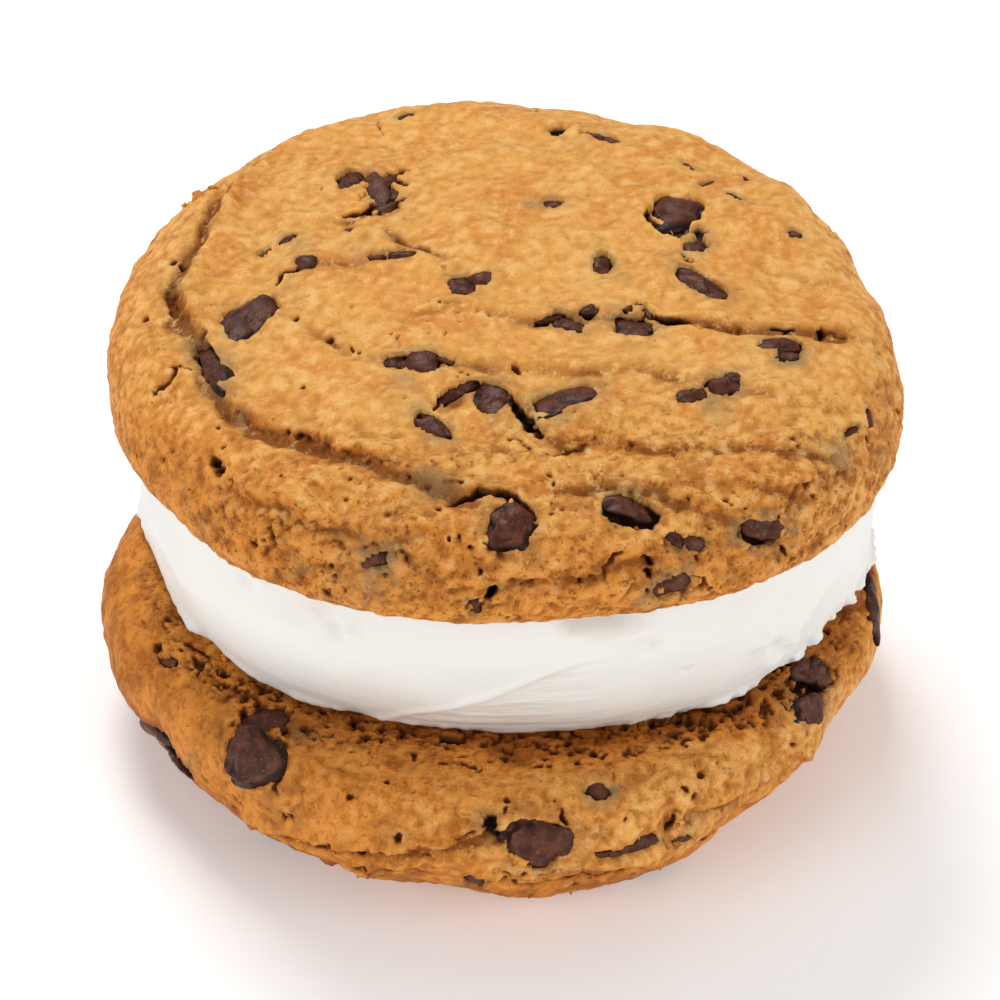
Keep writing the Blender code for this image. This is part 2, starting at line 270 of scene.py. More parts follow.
def make_uneven(piece, waves):
    """Stretches the outline by waves: count a turn, share of the radius, angle of a crest in degrees."""
    points = points_of(piece)
    angles = np.arctan2(points[:, 1], points[:, 0])
    share = np.ones(len(points))
    for count, size, crest in waves:
        share += size * np.cos(count * angles - math.radians(crest))
    points[:, :2] *= share[:, None]
    put_points(piece, points)


print("a section is spun in", SPIN_STEPS, "steps")

# %% [markdown]
# ## The two cookies
# Both are flat on the side that lay on the baking tray. The upper one has a low crown and a full round
# shoulder. The lower one lies on its dome, which is why it widens upward from a small foot. The
# sections follow the solids of the frame. A voxel remesh then turns the long spun faces into small even
# ones, which the relief needs.

# %% Cookie bodies
TOP_RADIUS = 44.4 * MM
TOP_WIDEST = 47.7 * MM
TOP_SHOULDER = 8.8 * MM
TOP_SHOULDER_HEIGHT = 10.5 * MM
TOP_EDGE = 4.3 * MM
TOP_CROWN = 3.0 * MM
BOTTOM_RADIUS = 43.1 * MM
BOTTOM_WIDEST = 13.4 * MM
BOTTOM_SHOULDER = 18.2 * MM
BOTTOM_EDGE = 5.5 * MM
FOOT_RADIUS = 16.0 * MM
TOP_WAVES = ((1, 0.011, -24), (2, 0.018, -95), (3, 0.019, -98), (4, 0.011, -131), (5, 0.006, 147))
BOTTOM_WAVES = (
    (1, 0.014, 181), (2, 0.014, 83), (3, 0.017, 115), (4, 0.025, 22), (5, 0.009, 85), (6, 0.009, -94),
)
TOP_VOXEL = 0.43 * MM
BOTTOM_VOXEL = 0.45 * MM


def top_section():
    """From the middle of the dome over the rim to the middle of the flat side."""
    edge_of_dome = TOP_RADIUS - TOP_SHOULDER
    shoulder_top = TOP_WIDEST + TOP_SHOULDER_HEIGHT
    points = []
    for share in (0.0, 0.2, 0.4, 0.6, 0.8, 0.93):
        points.append((edge_of_dome * share, shoulder_top + TOP_CROWN * (1 - share ** 2)))
    points += arc((edge_of_dome, TOP_WIDEST), TOP_SHOULDER, TOP_SHOULDER_HEIGHT, 90, 0, 10)
    inner = TOP_RADIUS - TOP_EDGE
    points += arc((inner, TOP_WIDEST), TOP_EDGE, TOP_WIDEST - TOP_FLAT, 0, -90, 6)[1:]
    return points + [(0.0, TOP_FLAT)]


def bottom_section():
    """From the middle of the flat side over the rim to the middle of the foot."""
    inner = BOTTOM_RADIUS - BOTTOM_EDGE
    points = [(0.0, BOTTOM_FLAT)]
    points += arc((inner, BOTTOM_WIDEST), BOTTOM_EDGE, BOTTOM_FLAT - BOTTOM_WIDEST, 90, 0, 7)
    edge_of_dome = BOTTOM_RADIUS - BOTTOM_SHOULDER
    points += arc((edge_of_dome, BOTTOM_WIDEST), BOTTOM_SHOULDER, BOTTOM_WIDEST, 0, -76, 12)[1:]
    return points + [(FOOT_RADIUS, 0.0), (0.0, 0.0)]


def cookie_body(name, section, waves, voxel):
    """A cookie as a closed, evenly remeshed solid in its place."""
    piece = turned(name, section)
    make_uneven(piece, waves)
    put_points(piece, points_of(piece) + np.array(PIE_MIDDLE))
    apply_modifier(piece, "REMESH", mode="VOXEL", voxel_size=voxel, use_smooth_shade=True)
    return piece


top_crust = cookie_body("top_crust", top_section(), TOP_WAVES, TOP_VOXEL)
bottom_crust = cookie_body("bottom_crust", bottom_section(), BOTTOM_WAVES, BOTTOM_VOXEL)
print("crusts have", triangles_of(top_crust), "and", triangles_of(bottom_crust), "triangles")

# %% [markdown]
# ## Hidden faces
# The middle of each flat side is under the cream, and the middle of the foot is on the table. Thousands
# of small faces there would be wasted, so they are dissolved into one.

# %% Dissolve what never shows
FLAT_BAND = 0.3 * MM


def select_points(piece, chosen, mode="FACE"):
    """Goes into edit mode with the chosen points selected, or the faces that have only such points."""
    only(piece)
    bpy.ops.object.mode_set(mode="EDIT")
    bpy.ops.mesh.select_mode(type="VERT")
    bpy.ops.mesh.select_all(action="DESELECT")
    bpy.ops.object.mode_set(mode="OBJECT")
    piece.data.vertices.foreach_set("select", chosen)
    bpy.ops.object.mode_set(mode="EDIT")
    bpy.ops.mesh.select_mode(type=mode)


def leave_edit_mode():
    bpy.ops.mesh.select_mode(type="VERT")
    bpy.ops.object.mode_set(mode="OBJECT")


def dissolve_flat(piece, height, half_width, front, back):
    """Dissolves the flat at a height, inside an oval that is given by its three reaches."""
    points = points_of(piece) - np.array(PIE_MIDDLE)
    depth = np.where(points[:, 1] > 0, back, front)
    inside = np.hypot(points[:, 0] / half_width, points[:, 1] / depth) < 1
    select_points(piece, (np.abs(points[:, 2] - height) < FLAT_BAND) & inside)
    bpy.ops.mesh.dissolve_faces(use_verts=True)
    leave_edit_mode()


dissolve_flat(top_crust, TOP_FLAT, half_width=38 * MM, front=35 * MM, back=37 * MM)
dissolve_flat(bottom_crust, BOTTOM_FLAT, half_width=35 * MM, front=25.5 * MM, back=32 * MM)
dissolve_flat(bottom_crust, 0.0, half_width=14 * MM, front=14 * MM, back=14 * MM)
print("crusts have", triangles_of(top_crust), "and", triangles_of(bottom_crust), "triangles")

# %% [markdown]
# ## Valleys and humps
# Dough slumps and rolls over itself as it bakes. The valleys that the photograph shows are paths of
# pixels, each after the width and the depth of its furrow in millimetres. The bank on the left of a
# path rises over the furrow. Humps and hollows are soft bumps at a pixel, with their reach and height
# in millimetres.

# %% Valleys and humps of the upper cookie
TOP_VALLEYS = {
    "left ring": (0.95, 1.15, (372, 582), (369, 591), (364, 600), (357, 608), (354, 617), (355.5, 626),
                  (360, 632), (364, 640), (366, 650), (373, 659), (383, 667), (396, 671), (412, 676),
                  (428, 680), (440, 685), (452, 691), (463, 693)),
    "back left ring": (0.8, 0.45, (398, 561), (386, 569), (377, 577), (372, 584)),
    "under the great back chip": (0.8, 0.55, (409, 590), (418, 590), (430, 587), (442, 582)),
    "flap": (0.9, 0.60, (458, 605), (448, 602), (438, 599), (431, 592)),
    "left back line": (0.8, 0.40, (394, 616), (401, 610), (410, 607), (424, 605), (440, 604)),
    "middle line": (0.8, 0.42, (440, 627), (455, 622), (470, 625), (487, 629), (508, 627), (531, 628)),
    "right line": (0.85, 0.75, (531, 627), (548, 631), (566, 632), (588, 633), (607, 635)),
    "upper right line": (0.8, 0.25, (560, 605), (575, 609), (590, 612), (602, 614)),
    "left of the long chip": (0.8, 0.48, (403, 630), (412, 636), (420, 640), (434, 643), (455, 645),
                              (481, 647)),
    "right of the long chip": (0.8, 0.42, (481, 647), (500, 647), (519, 646), (540, 650), (560, 655),
                               (580, 657)),
    "hook": (0.85, 0.65, (452, 659), (464, 653), (477, 655), (484, 664), (491, 671), (500, 674), (514, 673)),
    "right of the hook": (0.85, 0.62, (514, 674), (532, 675), (548, 676), (566, 675), (586, 676),
                          (597, 682)),
    "left front line": (0.85, 0.48, (374, 690), (392, 697), (412, 706), (434, 711), (452, 708)),
    "front line": (0.9, 0.70, (486, 690), (500, 690), (512, 690), (530, 691), (546, 698), (561, 704),
                   (580, 711)),
    "front crease": (0.9, 0.60, (448, 728), (470, 726), (490, 725), (510, 723), (522, 717), (540, 714)),
    "right front line": (0.8, 0.42, (548, 688), (566, 690), (584, 692), (598, 688)),
}
TOP_HUMPS = {
    "flap beside the back chips": (431, 597, 2.6, 0.35),
    "dough under the flap": (446, 596, 2.2, -0.25),
    "step in the back rim": (428, 553, 2.2, -0.7),
    "notch in the back rim": (519.5, 550.5, 2.3, -2.6),
    "left of the notch": (500, 549, 3.0, 0.4),
    "dip at the left back": (376, 577, 2.4, -0.6),
    "crescent wall": (364, 620, 3.4, 0.45),
    "crescent floor": (355.5, 622, 2.2, -0.7),
    "front left swelling": (400, 705, 7.0, 0.35),
    "swelling right of the hook": (520, 640, 6.0, 0.3),
    "dough over the furrow": (505, 664, 4.0, 0.35),
    "pale hump left of the whole chip": (461, 701, 2.6, 0.45),
    "pale hump right of it": (497, 706, 2.4, 0.40),
    "pale hump below the wedge": (489, 681, 2.2, 0.35),
    "pale hump at the right": (543, 681, 2.8, 0.35),
    "pale hump at the left": (361, 642, 2.6, 0.35),
}
print("upper cookie:", len(TOP_VALLEYS), "valleys and", len(TOP_HUMPS), "humps")

# %% Valleys and humps of the lower cookie
BOTTOM_VALLEYS = {
    "lip": (0.75, 1.05, (386, 815), (398, 818), (410, 822), (430, 825), (452, 825), (470, 819)),
    "second lip": (0.7, 0.95, (415, 829), (432, 831), (448, 831), (461, 833)),
    "front lip": (0.8, 1.0, (464, 836), (480, 835), (486, 836), (500, 832), (512, 832), (530, 829)),
    "notch": (0.9, 0.90, (539, 806), (538, 811), (536, 817)),
    "right lip": (0.8, 0.75, (545, 812), (558, 807), (572, 799), (583, 790)),
    "left of the great chip": (0.9, 0.40, (371, 770), (375, 785), (381, 803)),
    "right of the great chip": (0.8, 0.30, (397, 776), (401, 790), (399, 806)),
}
BOTTOM_HUMPS = {
    "notch in the right outline": (584, 794, 2.0, -2.6),
    "lower notch in the right outline": (559.5, 812.5, 2.1, -2.1),
    "scallop between the notches": (573, 804.5, 1.8, 0.5),
    "cut at the right": (599, 777, 2.6, -1.2),
    "step in the left outline": (350, 784, 4.2, -1.2),
    "cut below the left edge": (366, 804, 3.5, -0.1),
    "right swelling": (588, 783, 4.0, 1.0),
    "notch above the slivers": (542, 811, 2.2, -1.1),
    "low front lobe": (482, 840, 3.0, 0.4),
    "front, left of the lobe": (452, 838, 8.0, -1.1),
    "front, right of the lobe": (502, 837, 5.0, -1.8),
    "cut at the low front chip": (464, 836, 2.6, -0.5),
    "low left lobe": (432, 832, 4.0, 0.35),
    "cut left of the low left lobe": (414, 828, 2.4, -0.8),
    "cut below the long dark line": (518, 834, 3.0, -0.8),
    "low right lobe": (530, 827, 4.0, 0.5),
}
print("lower cookie:", len(BOTTOM_VALLEYS), "valleys and", len(BOTTOM_HUMPS), "humps")

# %% [markdown]
# A furrow is deepest along its path, and the bank swells up a little beside it. Each point needs its
# distance from the path and the side on which it lies, so the path becomes a close row of places on the
# crust, and a search tree finds the nearest of them.

# %% Furrow and bank of a valley
PATH_STEP = 0.4 * MM
BANK_HEIGHT = 0.85
BANK_PLACE = 1.6
BANK_WIDTH = 1.3


def path_points(surface, path, spacing):
    """Close rows of places on the surface along a path of pixels."""
    corners = [seen_at(surface, x, y)[0] for x, y in path]
    rows = []
    for corner, following in zip(corners, corners[1:]):
        steps = max(1, math.ceil((following - corner).length / spacing))
        rows += [surface.find_nearest(corner.lerp(following, step / steps))[0] for step in range(steps)]
    return rows + [corners[-1]]


def side_of(points, outwards, rows):
    """How far each point is from a row of places, and whether it lies left (1) or right (-1) of it."""
    tree = tree_of(rows)
    found = [tree.find(point) for point in points.tolist()]
    nearest = np.array([index for _, index, _ in found])
    distance = np.array([far for _, _, far in found])
    places = np.array(rows)
    heading = np.gradient(places, axis=0)[nearest]
    turned_left = np.cross(outwards, heading)
    return distance, np.sign(np.einsum("ij,ij->i", points - places[nearest], turned_left))


def valley_height(distance, side, width):
    """A furrow of depth 1 whose left bank is raised and rolls over it."""
    bank = hill(distance * side - BANK_PLACE * width, BANK_WIDTH * width)
    return BANK_HEIGHT * bank - hill(distance, width)


print("a bank stands", round(valley_height(BANK_PLACE, 1, 1), 2), "times as high as its furrow is deep")

# %% [markdown]
# Between the named valleys the dough has low rolls that run round the cookie, and its rim has layers
# that lie one over another. Both are smooth noise, stretched along the turn. The stretching is done by
# measuring the noise in turned coordinates.

# %% Rolls and layers of the dough
FOLD_MIDDLE = Vector((2.0, 14.0, 0.0)) * MM
FOLD_WIDTH = 4.6 * MM
FOLD_LENGTH = 13 * MM
RIM_LAYER_SIZE = 3.4 * MM
RIM_LAYER_LENGTH = 12 * MM
LAYER_MARGIN = (0.3 * MM, 2.5 * MM)


def folds(points):
    """Low rolls of dough that run round a middle behind the cookie's own, as it spreads."""
    offsets = points - np.array(FOLD_MIDDLE)
    radius = np.hypot(offsets[:, 0], offsets[:, 1])
    turn = np.arctan2(offsets[:, 1], offsets[:, 0])
    stretched = np.stack([radius / FOLD_WIDTH, np.cos(turn) * radius / FOLD_LENGTH,
                          np.sin(turn) * radius / FOLD_LENGTH + points[:, 2] / FOLD_LENGTH], 1)
    return ripple(stretched, 1.0, 4.0)


def rim_layers(points):
    """Layers that lie one over another round the rim, where the dough slumped as it spread."""
    turn = np.arctan2(points[:, 1], points[:, 0])
    reach = TOP_RADIUS / RIM_LAYER_LENGTH
    stretched = np.stack([np.cos(turn) * reach, np.sin(turn) * reach, points[:, 2] / RIM_LAYER_SIZE], 1)
    return ripple(stretched, 1.0, 9.0)


def flat_share(points, flat, foot):
    """0 close to the flat side and the foot, 1 away from them."""
    nearest = np.minimum(np.abs(points[:, 2] - flat), np.abs(points[:, 2] - foot))
    return smooth(nearest, *LAYER_MARGIN)


print("a roll is", round(FOLD_WIDTH / MM, 1), "mm wide, a layer", round(RIM_LAYER_SIZE / MM, 1), "mm high")

# %% [markdown]
# Now all of it is added up and the crust is pushed out and in along its own outward direction. The
# swellings are lower at the rims, which the baking sheet and the hot air set first. The flat side and
# the foot stay flat, because the cream and the table touch them.

# %% Swell the dough
LUMP_SIZE = 13 * MM
SMALL_LUMP_SIZE = 6 * MM
LUMP_HEIGHT = 0.70 * MM
SMALL_LUMP_HEIGHT = 0.35 * MM
LUMP_SHARE_AT_RIM = 0.45
FOLD_HEIGHT = 0.80 * MM
FOLD_SHARE_AT_RIM = 0.3
SWELLING_SIZE = 3.2 * MM
SWELLING_HEIGHT = 0.42 * MM
RIM_LAYER_HEIGHT = 0.55 * MM
WANDER = 0.9 * MM
WANDER_SIZE = 3.5 * MM
DEPTH_AT_ENDS = 0.35
END_LENGTH = 3 * MM
DEPTH_CHANGE = 0.6
DEPTH_CHANGE_SIZE = 4 * MM
DARKEST_FURROW = 0.5 * MM
STILL_BAND = 0.4 * MM
TOP_LUMPS = np.array((3.0, 0.0, 0.0))
BOTTOM_LUMPS = np.array((8.0, 0.0, 0.0))


def swell(piece, lumps, humps, valleys, flat, foot):
    """Pushes the crust out and in by noise, humps and valleys, and leaves flat side and foot flat."""
    points = points_of(piece)
    outwards = outwards_of(piece)
    surface = surface_of(piece)
    own = points - np.array(PIE_MIDDLE)
    height = LUMP_HEIGHT * ripple(own + lumps * LUMP_SIZE, LUMP_SIZE)
    height += SMALL_LUMP_HEIGHT * ripple(own + lumps * SMALL_LUMP_SIZE, SMALL_LUMP_SIZE)
    facing_up = np.clip(outwards[:, 2], 0, 1)
    height *= LUMP_SHARE_AT_RIM + (1 - LUMP_SHARE_AT_RIM) * facing_up
    height += FOLD_HEIGHT * folds(own) * (FOLD_SHARE_AT_RIM + (1 - FOLD_SHARE_AT_RIM) * facing_up)
    height += SWELLING_HEIGHT * (np.abs(ripple(own, SWELLING_SIZE, 6.0)) - 0.2)
    height += RIM_LAYER_HEIGHT * rim_layers(own) * (1 - facing_up) * flat_share(points, flat, foot)
    furrow = np.zeros(len(points))
    wander = WANDER * shaken(points, WANDER_SIZE)
    for width, depth, *path in valleys.values():
        rows = path_points(surface, path, PATH_STEP)
        distance, side = side_of(points + wander, outwards, rows)
        ends = np.minimum(far_from(points, rows[0]), far_from(points, rows[-1]))
        depths = depth * MM * (DEPTH_AT_ENDS + (1 - DEPTH_AT_ENDS) * smooth(ends, 0.0, END_LENGTH))
        depths *= 1 + DEPTH_CHANGE * ripple(points, DEPTH_CHANGE_SIZE, 7.0)
        height += valley_height(distance, side, width * MM) * depths
        # Painted shade: the furrow value tells the finish how dark to paint the floor of each valley.
        furrow = np.maximum(furrow, hill(distance, 0.8 * width * MM) * depths / DARKEST_FURROW)
    for x, y, reach, rise in humps.values():
        place, _ = seen_at(surface, x, y)
        height += rise * MM * hill(far_from(points, place), reach * MM)
    still = np.abs(points[:, 2] - flat) < STILL_BAND
    still |= np.abs(points[:, 2] - foot) < STILL_BAND
    height[still] = 0.0
    points += outwards * height[:, None]
    put_points(piece, points)
    keep_value(piece, "furrow", np.clip(furrow, 0, 1))


swell(top_crust, TOP_LUMPS, TOP_HUMPS, TOP_VALLEYS, TOP_FLAT, TOP_FLAT)
swell(bottom_crust, BOTTOM_LUMPS, BOTTOM_HUMPS, BOTTOM_VALLEYS, BOTTOM_FLAT, 0.0)
print("the upper cookie now rises to", round(max(points_of(top_crust)[:, 2]) / MM, 2), "mm")

# %% [markdown]
# ## Where the chips show
# Each chip is read off the photograph by the two ends of what shows of it and by its width there, all in
# pixels, then by how far it stands proud of the dough in millimetres, and by how strongly the chocolate
# shows through the thin dough round it. One that lies deeper than 0.45 mm is a hollow with a dark
# floor and gets no chip.

# %% Chips of the upper cookie
# A chip deeper than 0.45 mm leaves a hollow whose floor is painted black, as painted shadow.
TOP_CHIPS = {
    "red lobe": (415, 577.5, 424.5, 573, 6.5, -0.10, 0.3),
    "great back lobe": (425.5, 573.5, 433.5, 585.5, 7.5, 0.05, 0.4),
    "its jag, upper": (429, 576.5, 437, 574.5, 3.6, -0.10, 0.2),
    "its jag, middle": (432, 580, 437.5, 580.5, 4.2, -0.15, 0.2),
    "its jag, lower": (428, 587, 438, 585, 4.0, -0.15, 0.2),
    "freckle": (417, 594.7, 421, 593.3, 3.2, -0.10, 0.2),
    "ridge bit": (434, 604, 444.5, 602.8, 3.2, -0.10, 0.4),
    "bit left of it": (426, 604, 432.5, 604.4, 1.8, -0.10, 0.4),
    "cracked chip": (399, 605.5, 407, 605.5, 4.4, 0.0, 0.3),
    "big oval": (374.5, 633, 392.5, 620, 10.5, 0.25, 0.2),
    "left sliver": (393, 598.5, 400, 596.3, 1.7, -0.10, 0.5),
    "rim sliver": (386, 604, 391, 600.5, 1.8, -0.10, 0.6),
    "tail of the big oval": (372.5, 627, 378.5, 625, 3.0, -0.05, 0.2),
    "upright oval": (365.8, 639, 371.8, 651.5, 8.2, 0.35, 0.6),
    "gap beside it": (363.5, 637.5, 365.5, 644, 2.0, -0.9, 0.3),
    "back edge chip": (437, 553.2, 443.5, 551, 2.2, -0.10, 0.3),
    "slanted pair, left": (456, 615.8, 466, 615, 6.2, 0.10, 0.4),
    "slanted pair, right": (463, 613.8, 472, 611.4, 5.0, 0.10, 0.3),
    "tail of the spindle": (487, 629.5, 496, 626.6, 2.2, -0.05, 0.3),
    "spindle": (494, 627, 505.5, 630.5, 5.0, 0.10, 0.5),
    "knob of the spindle": (505, 624.5, 510.5, 622, 4.2, 0.05, 0.2),
    "back middle": (490.5, 584.6, 498.5, 584.4, 3.0, -0.05, 0.7),
    "back hollow": (492.5, 557.4, 499.3, 556.8, 4.8, -0.80, 0.0),
    "back tail": (505, 557.8, 520, 562.5, 2.2, -0.05, 0.3),
    "head of the back tail": (503.8, 553.5, 506.3, 558, 2.6, -0.10, 0.1),
    "square chip": (512, 603.3, 513.3, 611.3, 6.2, 0.05, 0.6),
    "back sliver one": (541, 569.5, 547.7, 572, 2.2, -0.05, 0.5),
    "back sliver two": (547.5, 578.7, 553.2, 576.4, 2.4, -0.05, 0.5),
    "back sliver three": (557, 580, 565.5, 583.5, 1.8, -0.05, 0.4),
    "back sliver four": (563.5, 574.3, 568, 577.2, 2.0, -0.05, 0.2),
    "large back chip": (530.5, 586.5, 549.5, 586.5, 11.0, 0.05, 0.0),
    "its lower lobe": (537, 592, 545, 593.5, 7.0, -0.35, 0.0),
    "hole beside it": (544.5, 594, 551.5, 594.5, 5.0, -1.2, 0.0),
    "sunk bit in the hole": (541.5, 601, 550.5, 598, 6.0, -0.40, 0.5),
    "rod": (540, 609, 558.3, 620, 6.8, 0.20, 0.4),
    "leaf": (516.5, 630, 531.7, 631, 6.4, 0.05, 0.5),
    "fleck one": (520, 624.6, 523.5, 622.4, 1.7, -0.05, 0.2),
    "fleck two": (524, 621.6, 528.5, 621.6, 1.6, -0.05, 0.2),
    "fleck three": (527.5, 622.5, 531, 626, 2.2, -0.05, 0.2),
    "grey chip": (569.5, 635.5, 587.3, 637, 6.8, 0.0, 0.4),
    "foot of the grey chip": (577, 640, 585.5, 640.3, 4.6, 0.0, 1.0),
    "hollow above the grey chip": (572, 630.6, 584, 631.3, 2.0, -0.5, 0.3),
    "right sliver": (581, 595, 586.7, 597, 2.4, -0.05, 0.5),
    "long chip, left": (431.5, 643, 442, 643.6, 4.8, 0.0, 0.4),
    "long chip": (440, 643, 452.5, 643.6, 8.8, 0.10, 0.5),
    "tail of the long chip": (450, 641.5, 457.5, 643.6, 1.8, -0.05, 0.2),
    "arm of the hook": (452.8, 657.5, 467, 650.6, 4.6, 0.0, 0.2),
    "hook": (466, 652, 476.5, 661.3, 12.5, 0.20, 0.4),
    "front spindle": (444, 662.3, 457, 670.3, 5.8, 0.10, 0.6),
    "right rod": (487, 659.3, 509.5, 653.8, 7.0, 0.20, 0.5),
    "arm of the right chip": (539.5, 656, 552, 653.5, 4.8, 0.0, 0.3),
    "right chip": (550, 652.5, 562, 650.3, 7.4, 0.10, 0.8),
    "edge sliver": (610.6, 660, 611.4, 669.5, 3.6, 0.0, 0.5),
    "edge smudge": (601, 670.5, 607, 666.3, 2.4, -0.15, 0.6),
    "whole chip": (480.5, 696.0, 476.3, 711, 16.5, 0.40, 0.3),
    "hollow of the dark chip": (511, 696, 534, 700.5, 10.5, -1.1, 0.2),
    "dark front chip": (512.3, 692.8, 530.5, 697.6, 7.0, -0.10, 0.2),
    "front right, left lobe": (536.2, 706.6, 542.5, 710.6, 4.6, 0.05, 0.3),
    "front right, right lobe": (542.5, 709, 551, 711, 5.8, 0.0, 0.3),
    "round right chip": (562.8, 704.5, 578, 706.5, 9.2, 0.10, 0.7),
    "ragged chip": (530.5, 729, 544.5, 723.3, 6.2, 0.0, 0.7),
    "ringed chip": (423, 718.6, 432.5, 715.8, 5.0, -0.05, 0.9),
    "lip chip": (465, 731, 466.5, 736.5, 4.6, -0.05, 0.7),
}
print("chips that show in the upper cookie:", len(TOP_CHIPS))

# %% Chips of the lower cookie
BOTTOM_CHIPS = {
    "left bit": (349.3, 753, 355.5, 753.4, 3.0, -0.05, 0.1),
    "bit at the cream": (370.3, 757.3, 376, 758, 4.0, -0.50, 0.0),
    "great round chip": (382.9, 779.5, 383.4, 799.3, 20.0, 0.60, 0.1),
    "chip behind it": (376.5, 776, 397.5, 773, 9.0, -0.35, 0.0),
    "left edge, upper": (342.5, 774.3, 353.5, 783.5, 8.6, 0.70, 0.1),
    "left edge, lower": (351.5, 783.5, 361.8, 795.5, 6.0, 0.70, 0.1),
    "hole of the front cluster": (476.5, 821, 501, 821.5, 17.0, -0.90, 0.3),
    "front cluster": (478, 821.3, 500, 821.0, 14.5, 0.10, 0.3),
    "front cluster, right": (493, 815.5, 500, 824.5, 8.0, 0.15, 0.3),
    "front cluster, foot": (484, 826.5, 493, 827.3, 6.5, -0.15, 0.3),
    "hollow left of the cluster": (468, 817, 477, 819, 6.0, -0.90, 0.6),
    "hollow above it": (467.5, 811.5, 474.5, 812, 6.8, -1.20, 0.6),
    "low front chip": (461, 835.2, 469.3, 833.6, 6.0, 0.0, 0.2),
    "faded chip": (506.5, 800.3, 516, 800.8, 6.6, -0.10, 1.0),
    "lip sliver, left": (510.5, 825.4, 522, 823.8, 2.8, -0.1, 0.2),
    "lip sliver": (518.5, 824.3, 534.3, 818, 3.8, 0.05, 0.2),
    "dark lip sliver": (536.5, 818, 548, 820.2, 2.8, -0.30, 0.0),
    "right lip chip": (546.5, 821, 553.8, 815.8, 5.0, 0.10, 0.2),
    "right pair, upper": (588, 750.5, 588.5, 760, 10.5, 0.05, 0.3),
    "right pair, arm": (591, 753, 597, 763, 6.0, -0.05, 0.3),
    "hollow in the right pair": (583, 762, 594.5, 763, 10.0, -1.2, 0.0),
    "hollow left of it": (584.3, 754, 586, 763, 4.5, -1.2, 0.0),
    "right pair, lower": (589.2, 765, 589, 776, 11.5, 0.30, 0.4),
    "right edge chip": (611.3, 721, 612.6, 744.8, 7.0, 0.45, 0.0),
    "head of the edge chip": (608.8, 725, 612.5, 728, 4.4, 0.0, 0.2),
}
print("chips that show in the lower cookie:", len(BOTTOM_CHIPS))
